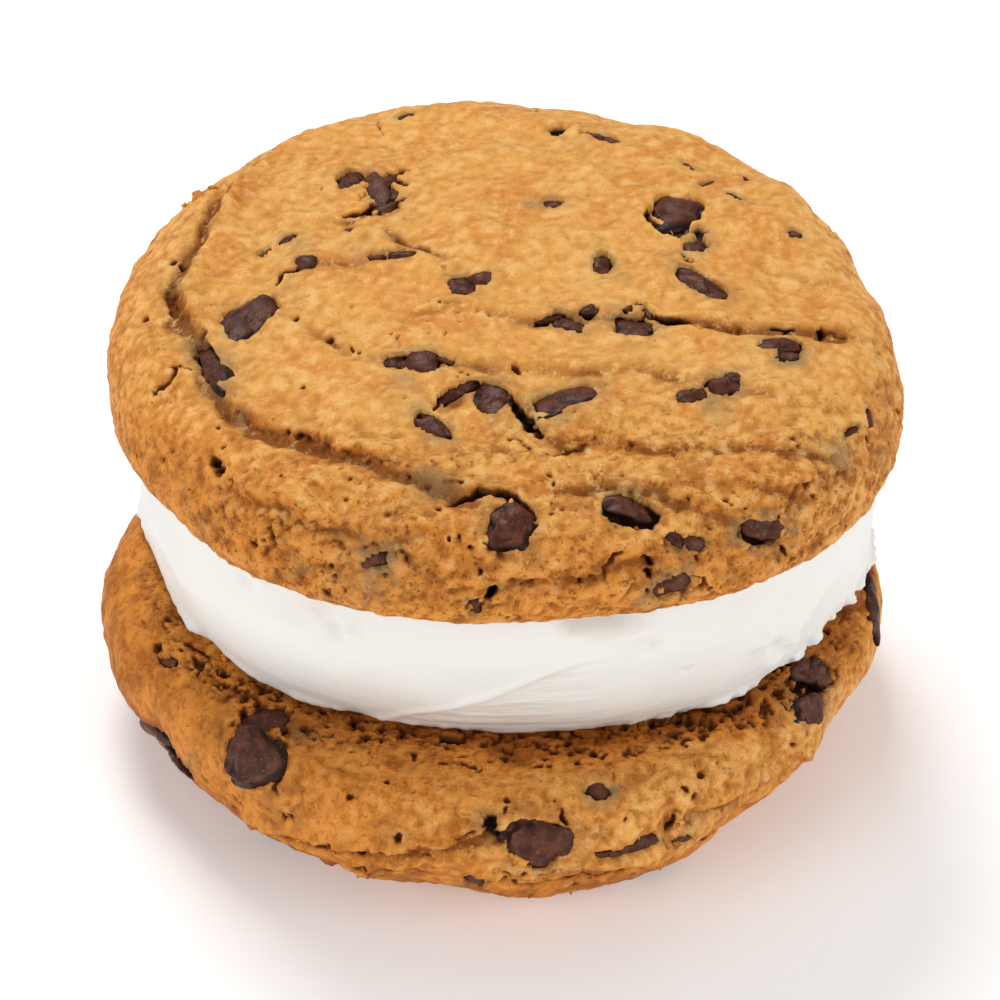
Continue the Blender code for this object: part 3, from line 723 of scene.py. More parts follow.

# %% [markdown]
# ## Cracks and pits
# As the dome sets and then sinks a little, its skin tears into furrows, and gas leaves small holes. A crack
# is a path of pixels after its width and depth in millimetres. A smudge is a pixel with its reach in pixels
# and its strength; it darkens the dough towards olive, partly where chocolate darkens the dough from below
# and partly as painted shade in valleys, notches and hollows. A pit is a pixel with its radius in pixels.

# %% Cracks, smudges and pits of the upper cookie
TOP_CRACKS = {
    "slot under the back chips": (1.0, 1.5, (416.5, 589.3), (422, 588.8), (427, 588), (431, 585.6),
                                  (436, 584), (441, 582)),
    "back notch, upper": (0.8, 1.2, (432, 573), (436.5, 573.8), (440.5, 572.3)),
    "back notch, lower": (0.8, 1.2, (434, 574.5), (437, 576), (440.5, 578)),
    "edge of the flap": (0.8, 0.5, (431, 592), (434, 596), (438, 599.5), (443, 601.3), (449, 602.6),
                         (455, 604)),
    "crack in the left chip": (0.9, 1.3, (405.5, 608.2), (402, 608.5), (399.5, 610), (395, 610),
                               (393.7, 613), (392.3, 616)),
    "ring, back": (0.6, 0.5, (371.5, 583), (371, 588), (367.5, 592.5), (365.5, 596), (364.5, 600),
                   (362, 603)),
    "crescent": (1.1, 0.5, (355.5, 615), (353.5, 619), (354.3, 623), (356.3, 627), (359.5, 628.8)),
    "ring, left": (0.5, 0.4, (359.5, 628.8), (363, 629.8), (366, 632), (366, 637)),
    "ring, front left": (0.6, 0.4, (374, 655), (378, 661), (381, 664), (383, 668), (388, 668.7),
                         (392, 669.5)),
    "ring, front": (0.6, 0.4, (392, 669.5), (397, 668.5), (401, 671), (405, 672.5), (412, 674.5), (420, 678),
                    (428, 678.5), (434, 679), (440, 681)),
    "left fork, right": (0.8, 1.0, (353.5, 644.5), (356.5, 644.3), (361.5, 646.3)),
    "left fork": (0.9, 1.2, (356.5, 644.5), (354, 649), (351, 652), (347.5, 654), (345, 651.5)),
    "behind the ridge bit": (0.7, 0.9, (437, 601), (441, 601.3), (445, 602.2)),
    "middle hairline": (0.4, 0.35, (440, 625), (447, 625), (450.5, 623.3), (453, 621), (458, 620.8),
                        (464, 622.5), (470, 625.5), (475, 628.5), (483, 628.2), (487, 629)),
    "over the long chip": (0.4, 0.4, (438, 630), (437, 635), (439, 640)),
    "hook wedge": (1.3, 1.5, (477.5, 655), (480, 659), (483, 663.5), (486.5, 667.5), (490.5, 671)),
    "under the large back chip": (1.2, 1.6, (528.5, 587), (529.5, 590.5), (533, 593.5), (538, 595.8),
                                  (541, 597)),
    "hook, dark end": (0.7, 0.9, (450.5, 661), (452.5, 657)),
    "inside the hook": (0.7, 0.8, (453, 659), (457, 657), (461, 655.3)),
    "under the wedge": (0.6, 0.5, (469, 668.5), (475, 670), (480, 671), (485, 673), (490, 675)),
    "furrow": (0.8, 0.8, (490, 675), (495, 677.3), (499, 676), (505, 675), (513, 672.5)),
    "furrow, upper": (0.5, 0.5, (497, 674), (502, 672), (508, 671), (514, 671.5)),
    "furrow, right": (0.5, 0.35, (515, 675), (525, 674), (533, 674), (537, 675), (540, 678), (544, 674)),
    "furrow, far right": (0.5, 0.35, (580, 674.3), (584, 674), (588, 678), (590, 680.5)),
    "black gap": (1.4, 1.7, (530, 626), (534, 627.3), (538, 628.3), (542, 629), (546, 629.8)),
    "end of the gap": (0.9, 1.0, (546, 629.8), (549, 630.5), (554, 631.3)),
    "hairline after the gap": (0.4, 0.35, (551, 631), (563, 632.2), (568, 632)),
    "right crack": (0.6, 0.6, (587, 632.5), (593, 633), (600, 634.5), (606, 634)),
    "branch of the rod": (0.5, 0.6, (560, 616.5), (565.5, 616)),
    "arch over the whole chip": (1.5, 1.9, (456.5, 696), (461, 694.3), (466, 691.5), (471, 690.3),
                                 (477, 691.5), (482, 694.5), (486, 699), (487.5, 702)),
    "right of the whole chip": (1.1, 1.4, (484, 707), (486, 704), (488.3, 702.3)),
    "foot of the whole chip": (0.8, 1.1, (468, 709.5), (472, 711.8), (478, 712)),
    "porous band": (0.9, 1.0, (440, 685), (442.5, 688), (446, 689.5), (449, 689)),
    "upright line": (0.5, 0.45, (494, 682), (494.5, 688), (494, 697), (497, 696.5)),
    "over the dark chip": (0.5, 0.45, (510.5, 681), (512, 686), (511.5, 690)),
    "front right line": (0.5, 0.5, (543, 693), (546, 697), (549, 699), (552.5, 702)),
    "front crease": (0.6, 0.5, (470, 724), (479, 723.5), (481, 725), (487, 724.3), (491, 723.5), (495, 725)),
    "front hole": (1.5, 1.9, (473, 726), (470, 729.5)),
    "front groove": (1.0, 0.8, (512.5, 723), (513.5, 719), (517, 716), (520, 712.5)),
    "arc right of the ragged chip": (0.5, 0.6, (545, 723), (549, 722), (552, 726), (554.5, 729)),
    "left of the ragged chip": (1.0, 1.3, (527.5, 715), (531, 717.5)),
    "left of it, lower": (1.0, 1.3, (528, 719), (530.5, 722.5)),
    "left of it, lowest": (0.7, 0.8, (528.8, 726.5), (529.3, 729)),
    "tail of the front right chip": (0.7, 0.8, (548.5, 713), (547.5, 717)),
    "right of the round chip": (0.7, 0.9, (577.5, 711.5), (580.5, 714.5)),
    "right of the ringed chip": (0.7, 0.8, (439, 714), (441, 719)),
    "left of the ringed chip": (0.7, 0.8, (417.5, 711), (415.5, 714.5)),
    "step in the back rim": (0.6, 0.6, (429, 554), (430.5, 557), (431.5, 560)),
}
# The first six smudges follow the left ring valley, as painted shade there.
TOP_SMUDGES_AND_SHADE = (
    (368, 592, 4, 0.6), (361, 603, 4, 0.7), (356, 615, 4, 0.7), (360, 634, 5, 0.6), (369, 655, 5, 0.6),
    (380, 664, 5, 0.5),
    (600, 678, 7, 0.9), (427, 718, 12, 0.8), (581, 704, 6, 0.7), (537, 725, 6, 0.8), (451, 685, 10, 0.9),
    (487, 585, 6, 0.6), (554, 659, 7, 0.8), (581, 643, 5, 1.0), (497, 663, 6, 0.6), (372, 644, 7, 0.7),
    (441, 649, 7, 0.6), (451, 671, 7, 0.7), (352, 612, 4, 0.6), (403, 719, 4, 0.4), (425, 603, 8, 0.5),
    (398, 600, 8, 0.5), (545, 599, 5, 0.7), (520, 612, 4, 0.6), (524, 636, 6, 0.5), (541, 709, 6, 0.5),
    (614, 642, 4, 0.6), (616, 678, 5, 0.6), (520, 690, 6, 0.4), (470, 689, 6, 0.4), (505, 560, 7, 0.4),
)
TOP_PITS = (
    (412.5, 635.5, 1.5), (420, 638.5, 1.2), (423, 639.7, 1.2), (452.5, 621, 1.3), (480.5, 646.5, 1.4),
    (461, 646, 1.0), (463, 647, 1.0), (396.5, 668.5, 1.3), (401, 671, 1.5), (404, 672.5, 1.2),
    (426, 680.5, 1.2), (369.5, 680.5, 2.4), (371.5, 683, 2.0), (371.5, 667, 1.1), (378, 662, 1.3),
    (394, 684.5, 1.1), (402, 652, 1.2), (400, 627, 1.2), (344.5, 627.5, 1.2), (355, 606.5, 1.6),
    (358.5, 609, 1.5), (459, 681, 1.1), (464, 685, 1.2), (461, 687, 1.1), (452, 697, 1.1),
    (455.5, 708.5, 1.2), (459.5, 707, 1.1), (463, 711, 1.0), (493, 685, 1.0), (519, 685, 1.1),
    (588, 689, 1.7), (590.3, 687, 1.1), (590, 692, 1.0), (558, 694, 1.1), (560, 695.5, 1.0),
    (565, 696, 0.9), (541.8, 603.5, 1.4), (543.7, 605.3, 1.3), (384, 710.5, 1.4), (389.4, 704.5, 1.2),
    (390.8, 707, 1.2), (388, 709, 0.9), (412, 718.5, 1.3), (413.5, 722, 1.1), (411.5, 729, 1.3),
    (467.5, 721, 1.2), (517, 715, 1.3), (351, 679, 1.3), (354, 676.5, 1.0), (593, 633, 1.5),
    (614, 640, 1.1), (364.7, 634, 1.4), (610.6, 671.8, 1.5), (373, 674, 1.0), (416, 682, 1.0),
    (419.5, 686, 1.0), (418.5, 693.5, 0.9), (438, 713, 1.1), (433, 713, 0.9), (432.5, 722.5, 1.0),
    (417.5, 727.5, 1.2), (504, 723.5, 1.1), (508, 722.5, 1.1), (512, 730, 1.1), (360, 690, 0.9),
)
print("upper cookie:", len(TOP_CRACKS), "cracks,", len(TOP_SMUDGES_AND_SHADE), "smudges,", len(TOP_PITS), "pits")

# %% Cracks, smudges and pits of the lower cookie
BOTTOM_CRACKS = {
    "left slot": (0.7, 1.1, (376, 802), (380.5, 807)),
    "lip, upper": (0.8, 0.9, (396, 818), (404, 821), (411, 822.3), (420, 824), (430, 824.6), (440, 824.3),
                   (448, 824.5), (452, 826)),
    "lip, lower": (0.9, 1.0, (416, 829), (424, 829.6), (432, 829.8), (442, 829.8), (452, 831.5),
                   (461, 832.5)),
    "lip, front": (0.9, 1.0, (469, 834.5), (476, 834), (482, 835.5), (488, 835.5), (495, 834), (500, 833),
                   (505, 831.3), (510, 832.6), (517, 831), (530, 829)),
    "line under the cluster": (0.6, 0.6, (470, 829), (476, 831), (484, 832.5), (492, 831.5), (500, 829.5)),
    "line left of the cluster": (0.6, 0.6, (456, 820), (460, 819.5), (465, 818), (469, 818)),
    "left of the cluster": (0.8, 0.8, (458, 820.5), (462, 817.5), (470, 816)),
    "right of the cluster": (0.7, 1.0, (494.5, 804), (497, 806.5), (497.5, 810), (499, 813), (501.5, 816.5)),
    "middle crack": (0.9, 1.2, (459, 790), (462, 791), (467, 792.5)),
    "brown line": (0.5, 0.45, (514, 792), (517, 796), (519.5, 800)),
    "notch, left": (0.9, 0.8, (539.5, 808), (537.5, 812), (536, 816)),
    "notch, right": (0.7, 0.7, (539.5, 808), (545.5, 812.5)),
    "behind the great chip": (0.7, 0.9, (381, 769), (380, 774)),
    "edge of the great chip": (0.8, 1.0, (393.5, 782), (395.5, 788), (393.5, 795), (391, 801.5)),
}
# Some of these smudges sit in the notch, round the hollow of the front cluster and along the lips, as
# painted shade there.
BOTTOM_SMUDGES_AND_SHADE = (
    (478, 818, 7, 0.8), (511, 800, 7, 0.9), (489, 832, 6, 0.6), (402, 780, 6, 0.5), (592, 770, 6, 0.6),
    (545, 815, 6, 0.6), (360, 790, 6, 0.4), (398, 812, 5, 0.5), (437, 818, 5, 0.4), (463, 834, 6, 0.5),
)
BOTTOM_PITS = (
    (352.5, 737.5, 1.4), (355.5, 739, 1.2), (367, 758.5, 1.3), (378, 763.5, 1.6), (383, 770, 1.2),
    (375.5, 776, 1.6), (402.5, 777.5, 2.0), (405, 778, 1.4), (407, 782, 1.0), (411, 781, 1.0),
    (454.5, 781.5, 2.0), (458.5, 781.8, 2.2), (443, 787, 1.5), (453.5, 790, 1.6), (461, 788, 1.5),
    (476.5, 788.5, 1.4), (491.5, 785, 1.8), (494.5, 786.5, 1.6), (499.5, 783, 1.8), (500, 786.5, 1.6),
    (489, 791.5, 1.6), (492.5, 791.4, 1.2), (509, 787, 2.0), (521, 786.3, 1.5), (523.5, 787, 1.4),
    (535.5, 784.5, 1.3), (541.5, 778.5, 1.4), (542.3, 781.3, 1.2), (563, 777, 1.2), (572.5, 776.5, 1.2),
    (549, 795, 1.5), (543.5, 800.3, 1.6), (546.5, 803, 1.8), (521, 811.5, 1.1), (419, 802.5, 1.5),
    (433, 797, 1.3), (447, 797, 1.0), (437, 818, 1.5), (477, 804, 1.3), (477, 807.5, 1.1),
    (487.5, 812.5, 1.5), (395, 811, 1.5), (397, 810.5, 1.3), (392, 801, 1.2), (595, 742, 1.8),
    (366, 797, 1.4), (583, 784, 1.2), (588, 779.5, 1.2), (420, 786, 1.0), (426, 791, 1.0),
)
print("lower cookie:", len(BOTTOM_CRACKS), "cracks,", len(BOTTOM_SMUDGES_AND_SHADE), "smudges,",
      len(BOTTOM_PITS), "pits")

# %% [markdown]
# ## From pixels to places
# A chip becomes a place on the crust with two half axes, one along it and one across it. Long chips are
# blockier than round ones.

# %% Place the chips that show
ROUND_POWER = 2.1
BLOCKY_POWER = 3.2
BLOCKY_FROM = 1.55
DEEPEST_SLANT = 2.2


def seen_beside(surface, x, y, middle):
    """Like seen_at, but close to a known place also where the line of sight runs past the edge."""
    direction = sight(x, y)
    depth = (middle - camera_place).dot(view_direction)
    level = camera_place + direction * (depth / direction.dot(view_direction))
    place, _ = seen_at(surface, x, y)
    if (place - level).length > DEEPEST_SLANT * (level - middle).length:
        place, _, _, _ = surface.find_nearest(level)
    return place


def chip_seen(surface, x1, y1, x2, y2, width, rise, halo):
    """A chip by the ends and the width that the photograph shows of it."""
    x, y = (x1 + x2) / 2, (y1 + y2) / 2
    length = math.hypot(x2 - x1, y2 - y1)
    side = (-(y2 - y1) / length * width / 2, (x2 - x1) / length * width / 2)
    place, outward = seen_at(surface, x, y)
    ends = [(x2, y2), (x1, y1), (x + side[0], y + side[1]), (x - side[0], y - side[1])]
    far, near, first, second = [seen_beside(surface, *end, place) for end in ends]
    power = BLOCKY_POWER if length > BLOCKY_FROM * width else ROUND_POWER
    return {"place": place, "outward": outward, "along": (far - near) / 2, "across": (first - second) / 2,
            "rise": rise * MM, "halo": halo, "power": power}


print("a chip is blocky from", BLOCKY_FROM, "times as long as wide")

# %% [markdown]
# The cookies go on behind, where the photograph doesn't reach. Places there follow a spiral that turns
# by the golden angle from one to the next, which spreads them evenly round the side. Each chip keeps
# its distance from the others.

# %% Places and chips on the far side
LEAST_TURNED_AWAY = -0.50
SPIRAL_REACH = 0.2
SPIRAL_STEPS = 1000
GOLDEN_ANGLE = math.pi * (3 - math.sqrt(5))
HIDDEN_SPACING = 8.5 * MM
HIDDEN_REACHES = (1.2, 2.9)


def hidden_from_camera(place, outward):
    """Whether a place is turned well away from the camera."""
    towards = (camera_place - place).normalized()
    return outward.dot(towards) < LEAST_TURNED_AWAY


def places_unseen(surface, heights, draw, first=0):
    """Places on a golden-angle spiral round the side, only where the camera doesn't see."""
    for step in range(first, first + SPIRAL_STEPS):
        angle = step * GOLDEN_ANGLE
        heading = Vector((math.cos(angle), math.sin(angle), 0.0))
        start = PIE_MIDDLE + heading * SPIRAL_REACH + Vector((0, 0, draw.uniform(*heights)))
        place, outward, _, _ = surface.ray_cast(start, -heading)
        if hidden_from_camera(place, outward):
            yield place, outward


def any_heading(outward, draw):
    """A random direction along a surface with this outward direction."""
    turn = draw.uniform(0, math.tau)
    level = outward.orthogonal().normalized()
    return level * math.cos(turn) + outward.cross(level) * math.sin(turn)


def chips_unseen(surface, chips, heights, count, seed):
    """Chips like those that show, for the far side."""
    draw = random.Random(seed)
    made = []
    for place, outward in places_unseen(surface, heights, draw):
        if len(made) == count:
            break
        if min((place - chip["place"]).length for chip in chips + made) < HIDDEN_SPACING:
            continue
        reach = draw.uniform(*HIDDEN_REACHES) * MM
        along = any_heading(outward, draw)
        made.append({"place": place, "outward": outward, "along": along * reach,
                     "across": outward.cross(along) * reach * draw.uniform(0.45, 0.9),
                     "rise": draw.uniform(-0.25, -0.05) * MM, "halo": draw.uniform(0.1, 0.6),
                     "power": draw.uniform(ROUND_POWER, BLOCKY_POWER)})
    return made


print("places on the far side turn by", round(math.degrees(GOLDEN_ANGLE), 1), "degrees each")

# %% [markdown]
# Cracks become close rows of points, and pits become spots. Both go on round the far side, from a
# later turn of the spiral than the chips there.

# %% Find everything on the crust
PIXEL = 0.307 * MM
CRACK_STEP = 0.15 * MM
CRACK_PATCHES = 1.7 * MM
HIDDEN_CRACKS_FROM = 500
HIDDEN_PITS_FROM = 900
TOP_HIDDEN_HEIGHTS = (45 * MM, 57 * MM)
TOP_HIDDEN_CHIPS = 14
BOTTOM_HIDDEN_HEIGHTS = (1 * MM, 18 * MM)
BOTTOM_HIDDEN_CHIPS = 28


def crack_fade(share):
    """Strength of a crack at a share of its length: full in its middle, weaker at both ends."""
    return 0.4 + 0.6 * math.sin(math.pi * share) ** 0.5


def crack_points(surface, cracks):
    """Close rows of (place, half width, depth) along all cracks."""
    rows = []
    for width, depth, *path in cracks.values():
        places = path_points(surface, path, CRACK_STEP)[:-1]
        for number, place in enumerate(places):
            fade = crack_fade(number / len(places)) * (1 + 0.45 * noise.noise(place / CRACK_PATCHES))
            rows.append((place, width / 2 * MM * fade, depth * MM * fade))
    return rows


def cracks_unseen(surface, heights, count, seed):
    """Short cracks that wander over the hidden side."""
    draw = random.Random(seed)
    rows = []
    starts = places_unseen(surface, heights, draw, HIDDEN_CRACKS_FROM)
    for (place, outward), _ in zip(starts, range(count)):
        along = any_heading(outward, draw)
        steps = round(draw.uniform(3.5, 9.0) * MM / CRACK_STEP)
        half_width = draw.uniform(0.30, 0.50) * MM
        for step in range(steps):
            along += Vector([draw.gauss(0, 0.15) for _ in range(3)])
            along = (along - outward * along.dot(outward)).normalized()
            place, outward, _, _ = surface.find_nearest(place + along * CRACK_STEP)
            fade = crack_fade(step / steps)
            rows.append((place, half_width * fade, 2.1 * half_width * fade))
    return rows


def pits_unseen(surface, heights, count, seed):
    """Pits, as (place, radius), for the far side."""
    draw = random.Random(seed)
    found = zip(places_unseen(surface, heights, draw, HIDDEN_PITS_FROM), range(count))
    return [(place, draw.uniform(0.25, 0.55) * MM) for (place, _), _ in found]


def find_features(piece, chips, cracks, pits, smudges, hidden_heights, hidden_count, seed):
    """Chips, cracks, pits and smudges of a crust, all as places on it."""
    surface = surface_of(piece)
    found = [chip_seen(surface, *chip) for chip in chips.values()]
    found += chips_unseen(surface, found, hidden_heights, hidden_count, seed)
    rows = crack_points(surface, cracks)
    rows += cracks_unseen(surface, hidden_heights, hidden_count // 2, seed)
    holes = [(seen_at(surface, x, y)[0], reach * PIXEL) for x, y, reach in pits]
    holes += pits_unseen(surface, hidden_heights, 2 * hidden_count, seed)
    stains = [(seen_at(surface, x, y)[0], reach * PIXEL, share) for x, y, reach, share in smudges]
    return {"chips": found, "cracks": rows, "pits": holes, "smudges": stains}


top_features = find_features(top_crust, TOP_CHIPS, TOP_CRACKS, TOP_PITS, TOP_SMUDGES_AND_SHADE,
                             TOP_HIDDEN_HEIGHTS, TOP_HIDDEN_CHIPS, seed=4)
bottom_features = find_features(bottom_crust, BOTTOM_CHIPS, BOTTOM_CRACKS, BOTTOM_PITS, BOTTOM_SMUDGES_AND_SHADE,
                                BOTTOM_HIDDEN_HEIGHTS, BOTTOM_HIDDEN_CHIPS, seed=9)
print("chips:", len(top_features["chips"]), "and", len(bottom_features["chips"]))

# %% [markdown]
# ## Finer faces where they are needed
# The edge of a chip or a crack needs smaller faces than plain dough does. The faces near such places
# are selected and subdivided, and the rest stays as it is.

# %% Subdivide near chips, cracks and pits
CHIP_BAND = (0.75, 1.3)
NEAR = 0.5 * MM
STRIP_WIDTH = 4.0 * MM
STRIP_FRONT = -4 * MM
COVERED_HALF_WIDTH = 38 * MM
COVERED_DEPTH = 28.5 * MM
CHIP_LEVEL_BAND = 3 * MM
OUT_OF_REACH = 99.0


def oval_share(first, second, power):
    """1 on an oval with half axes of 1, less inside; a high power makes it blocky."""
    return (np.abs(first) ** power + np.abs(second) ** power) ** (1 / power)


def chip_shares(points, chip):
    """How far out of a chip's outline each point is (1 at its edge)."""
    offsets = points - np.array(chip["place"])
    along, across = np.array(chip["along"]), np.array(chip["across"])
    grid = np.array([[along @ along, along @ across], [along @ across, across @ across]])
    shares = np.linalg.solve(grid, np.stack([offsets @ along, offsets @ across]))
    height = offsets @ np.array(chip["outward"])
    share = oval_share(shares[0], shares[1], chip["power"])
    share[np.abs(height) > CHIP_LEVEL_BAND] = OUT_OF_REACH
    return share


def crack_depths(points, rows, widen=0.0):
    """Depth of the crack at each point: full along its middle, none at its edges."""
    tree = tree_of([place for place, _, _ in rows])
    depths = np.zeros(len(points))
    for number, point in enumerate(points.tolist()):
        _, index, distance = tree.find(point)
        _, half_width, depth = rows[index]
        share = distance / (half_width + widen)
        if share < 1:
            depths[number] = depth * (1 - share * share) ** 1.5
    return depths


def refine(piece, features, also):
    """Subdivides the faces near the edges of chips, near cracks and round pits, and some others."""
    points = points_of(piece)
    busy = also(points) | (crack_depths(points, features["cracks"], NEAR) > 0)
    for chip in features["chips"]:
        share = chip_shares(points, chip)
        busy |= (share > CHIP_BAND[0]) & (share < CHIP_BAND[1])
    for place, reach in features["pits"]:
        busy |= far_from(points, place) < reach + NEAR
    select_points(piece, busy)
    bpy.ops.mesh.subdivide(number_cuts=1)
    leave_edit_mode()


def from_cream(points):
    """Distance of each point from the solid of the cream."""
    cream = surface_of(bpy.data.objects["cream"])
    return np.array([cream.find_nearest(point)[3] for point in points.tolist()])


def beside_cream(points):
    """The strip of the lower cookie's flat side that comes out from under the cream in front."""
    own = points - np.array(PIE_MIDDLE)
    covered = np.hypot(own[:, 0] / COVERED_HALF_WIDTH, own[:, 1] / COVERED_DEPTH) < 1
    return (from_cream(points) < STRIP_WIDTH) & (own[:, 1] < STRIP_FRONT) & ~covered


def nowhere(points):
    """No point at all."""
    return np.zeros(len(points), bool)


refine(top_crust, top_features, nowhere)
refine(bottom_crust, bottom_features, beside_cream)
print("crusts have", triangles_of(top_crust), "and", triangles_of(bottom_crust), "triangles")

# %% [markdown]
# ## Fine relief
# The crust is opened where chips show, and a low collar of dough rises round each opening. Small holes
# are most frequent where the crumb is coarse, and short tears follow the rolls of dough.

# %% Sockets, small holes and tears
SOCKET_DEPTH = 1.3 * MM
SOCKET_RAGGEDNESS = 0.65 * MM
MOST_RAGGED = 0.42
COLLAR = 0.12 * MM
TEAR_WIDTH = 0.30 * MM
TEAR_DEPTH = 0.42 * MM


def chip_relief(points, chips, ragged):
    """Lowers the crust over each chip, lifts a low collar round it, and tells where dough is thin."""
    height = np.zeros(len(points))
    inside = np.zeros(len(points))
    halo = np.zeros(len(points))
    for chip in chips:
        share = chip_shares(points, chip)
        near = share < 3
        reach = (chip["along"].length + chip["across"].length) / 2
        edge = share[near] + ragged[near] * min(MOST_RAGGED, SOCKET_RAGGEDNESS / reach)
        opened = 1 - smooth(edge, 0.86, 1.02)
        collar = hill(edge - 1.12, 0.16)
        height[near] = np.minimum(height[near], -SOCKET_DEPTH * opened)
        height[near] += COLLAR * collar * (1 - opened)
        inside[near] = np.maximum(inside[near], opened)
        halo[near] = np.maximum(halo[near], chip["halo"] * hill(edge - 1, 0.75))
    return height, inside, halo


def round_hollow(points, place, reach, depth):
    """Full depth at its place, none from its reach on."""
    return depth * np.clip(1 - (far_from(points, place) / reach) ** 2, 0, 1)


def small_pits(points, wanted, count, reaches, steepness, seed):
    """Many small holes, drawn where they are wanted most."""
    draw = np.random.default_rng(seed)
    chance = wanted / wanted.sum()
    height = np.zeros(len(points))
    for middle in draw.choice(len(points), count, replace=False, p=chance):
        reach = draw.uniform(*reaches) * MM
        height = np.maximum(height, round_hollow(points, points[middle], reach, reach * steepness))
    return height


def tear_lines(points, coarse, seed):
    """Short broken tears that follow the rolls of dough, where the skin gave way."""
    own = points - np.array(PIE_MIDDLE)
    lines = ripple(points, 5.5 * MM, seed + 8) * 0.35 + folds(own) * 0.6
    lines += ripple(points, 1.2 * MM, seed + 9) * 0.14
    width = TEAR_WIDTH / FOLD_WIDTH
    closeness = np.clip(1 - np.abs(lines + 0.05) / width, 0, 1)
    broken = smooth(ripple(points, 2.6 * MM, seed + 10) + 0.25 * coarse, 0.12, 0.40)
    return TEAR_DEPTH * closeness * broken * (0.4 + 0.6 * coarse)


print("a socket is", round(SOCKET_DEPTH / MM, 1), "mm deep")

# %% [markdown]
# Now all of it is carved into a crust, together with its cracks, pits and crumb. Small random shifts of the
# places where each shape is measured give every edge its ragged line. What the material needs to know is
# stored with each point: how deep in a crack it is, which sets its painted shade, how thin the dough over
# chocolate is, with the smudges of painted shade added to it, and how coarse and how brown the crumb is.

# %% Carve the crust
RAGGED_SIZE = 2.2 * MM
FINE_RAGGED_SIZE = 0.8 * MM
SHIFT = 0.45 * MM
SHIFT_SIZE = 1.1 * MM
TORN_SHIFT = 1.1 * MM
TORN_SIZE = 0.9 * MM
PIT_WIDENING = 1.2
PIT_STEEPNESS = 2.0
SMALL_PITS = 700
SMALL_PIT_REACHES = (0.22, 0.48)
SMALL_PIT_STEEPNESS = 0.8
OPEN_PITS = 320
OPEN_PIT_REACHES = (0.25, 0.85)
OPEN_PIT_STEEPNESS = 1.2
DARKEST_CRACK = 1.1 * MM
DARKEST_GRAIN = 1.0 * MM
DARKEST_TEAR = 0.9 * MM
CLOD_SIZE = 1.9 * MM
GRAVEL_SIZE = 0.85 * MM
UNTOUCHED_BAND = 0.35 * MM


def roughen(piece, features, looks, flat, foot, seed):
    """Carves chips, cracks, pits and crumb into a crust and stores what its material needs."""
    points = points_of(piece)
    outwards = outwards_of(piece)
    coarse, bake, near_cream = looks(points, outwards)
    ragged = ripple(points, RAGGED_SIZE, seed) + 0.55 * ripple(points, FINE_RAGGED_SIZE, seed)
    shifted = points + SHIFT * shaken(points, SHIFT_SIZE, seed)
    height, inside, halo = chip_relief(points, features["chips"], ragged)
    # Smudges add to the olive of thin dough; some of them are painted shade in valleys and hollows.
    for place, reach, share in features["smudges"]:
        halo = np.maximum(halo, share * hill(far_from(shifted, place), reach))
    cracks = crack_depths(shifted, features["cracks"])
    pits = np.zeros(len(points))
    for place, reach in features["pits"]:
        pits = np.maximum(pits, round_hollow(shifted, place, PIT_WIDENING * reach, PIT_STEEPNESS * reach))
    grains = small_pits(points, coarse ** 2 + 0.02, SMALL_PITS, SMALL_PIT_REACHES, SMALL_PIT_STEEPNESS, seed)
    if near_cream.any():
        torn = points + TORN_SHIFT * shaken(points, TORN_SIZE, seed)
        holes = small_pits(torn, near_cream ** 2, OPEN_PITS, OPEN_PIT_REACHES, OPEN_PIT_STEEPNESS, seed)
        pits = np.maximum(pits, holes)
    clods = np.abs(ripple(points, CLOD_SIZE, seed + 5)) * 2 - 0.5
    gravel = ripple(points, GRAVEL_SIZE, seed + 6)
    crumb = (0.02 + 0.13 * coarse) * clods + (0.06 + 0.11 * coarse) * gravel
    tears = tear_lines(points, coarse, seed)
    height -= cracks + pits + grains + tears
    height += crumb * MM * (1 - inside)
    on_flat = np.abs(points[:, 2] - flat) < UNTOUCHED_BAND
    on_foot = np.abs(points[:, 2] - foot) < UNTOUCHED_BAND
    height[on_foot] = 0.0
    height[on_flat] = np.minimum(height[on_flat], 0.0)
    points += outwards * height[:, None]
    put_points(piece, points)
    # Painted shade: how dark cracks, pits, grains and tears are painted grows with their depth.
    darkest = (cracks + pits) / DARKEST_CRACK + grains / DARKEST_GRAIN + tears / DARKEST_TEAR
    keep_value(piece, "dark", np.clip(darkest, 0, 1))
    keep_value(piece, "opened", inside)
    # The raised value sets the painted highlights and the painted shade of the crumb in the crust's finish.
    keep_value(piece, "raised", np.clip(0.5 + 0.35 * clods + 0.5 * gravel, 0, 1))
    keep_value(piece, "halo", np.clip(halo, 0, 1))
    keep_value(piece, "coarse", coarse)
    keep_value(piece, "bake", bake)


print("crumb: clods of", round(CLOD_SIZE / MM, 2), "mm and gravel of", round(GRAVEL_SIZE / MM, 2), "mm")

# %% [markdown]
# How coarse and how brown a crust is depends on the place. Rims brown first, and both cookies in the
# photograph are browner on the left. The strip of flat side beside the cream is the coarsest of all.

# %% Looks of both crusts
LEFT_BROWNING = 13.0
RIGHT_PALING = 5.0
NEAR_CREAM_LEFT_FADE = 30.0
NEAR_CREAM_REACH = (1.0 * MM, 6.5 * MM)
NEAR_CREAM_UNEVENNESS = 1.6 * MM


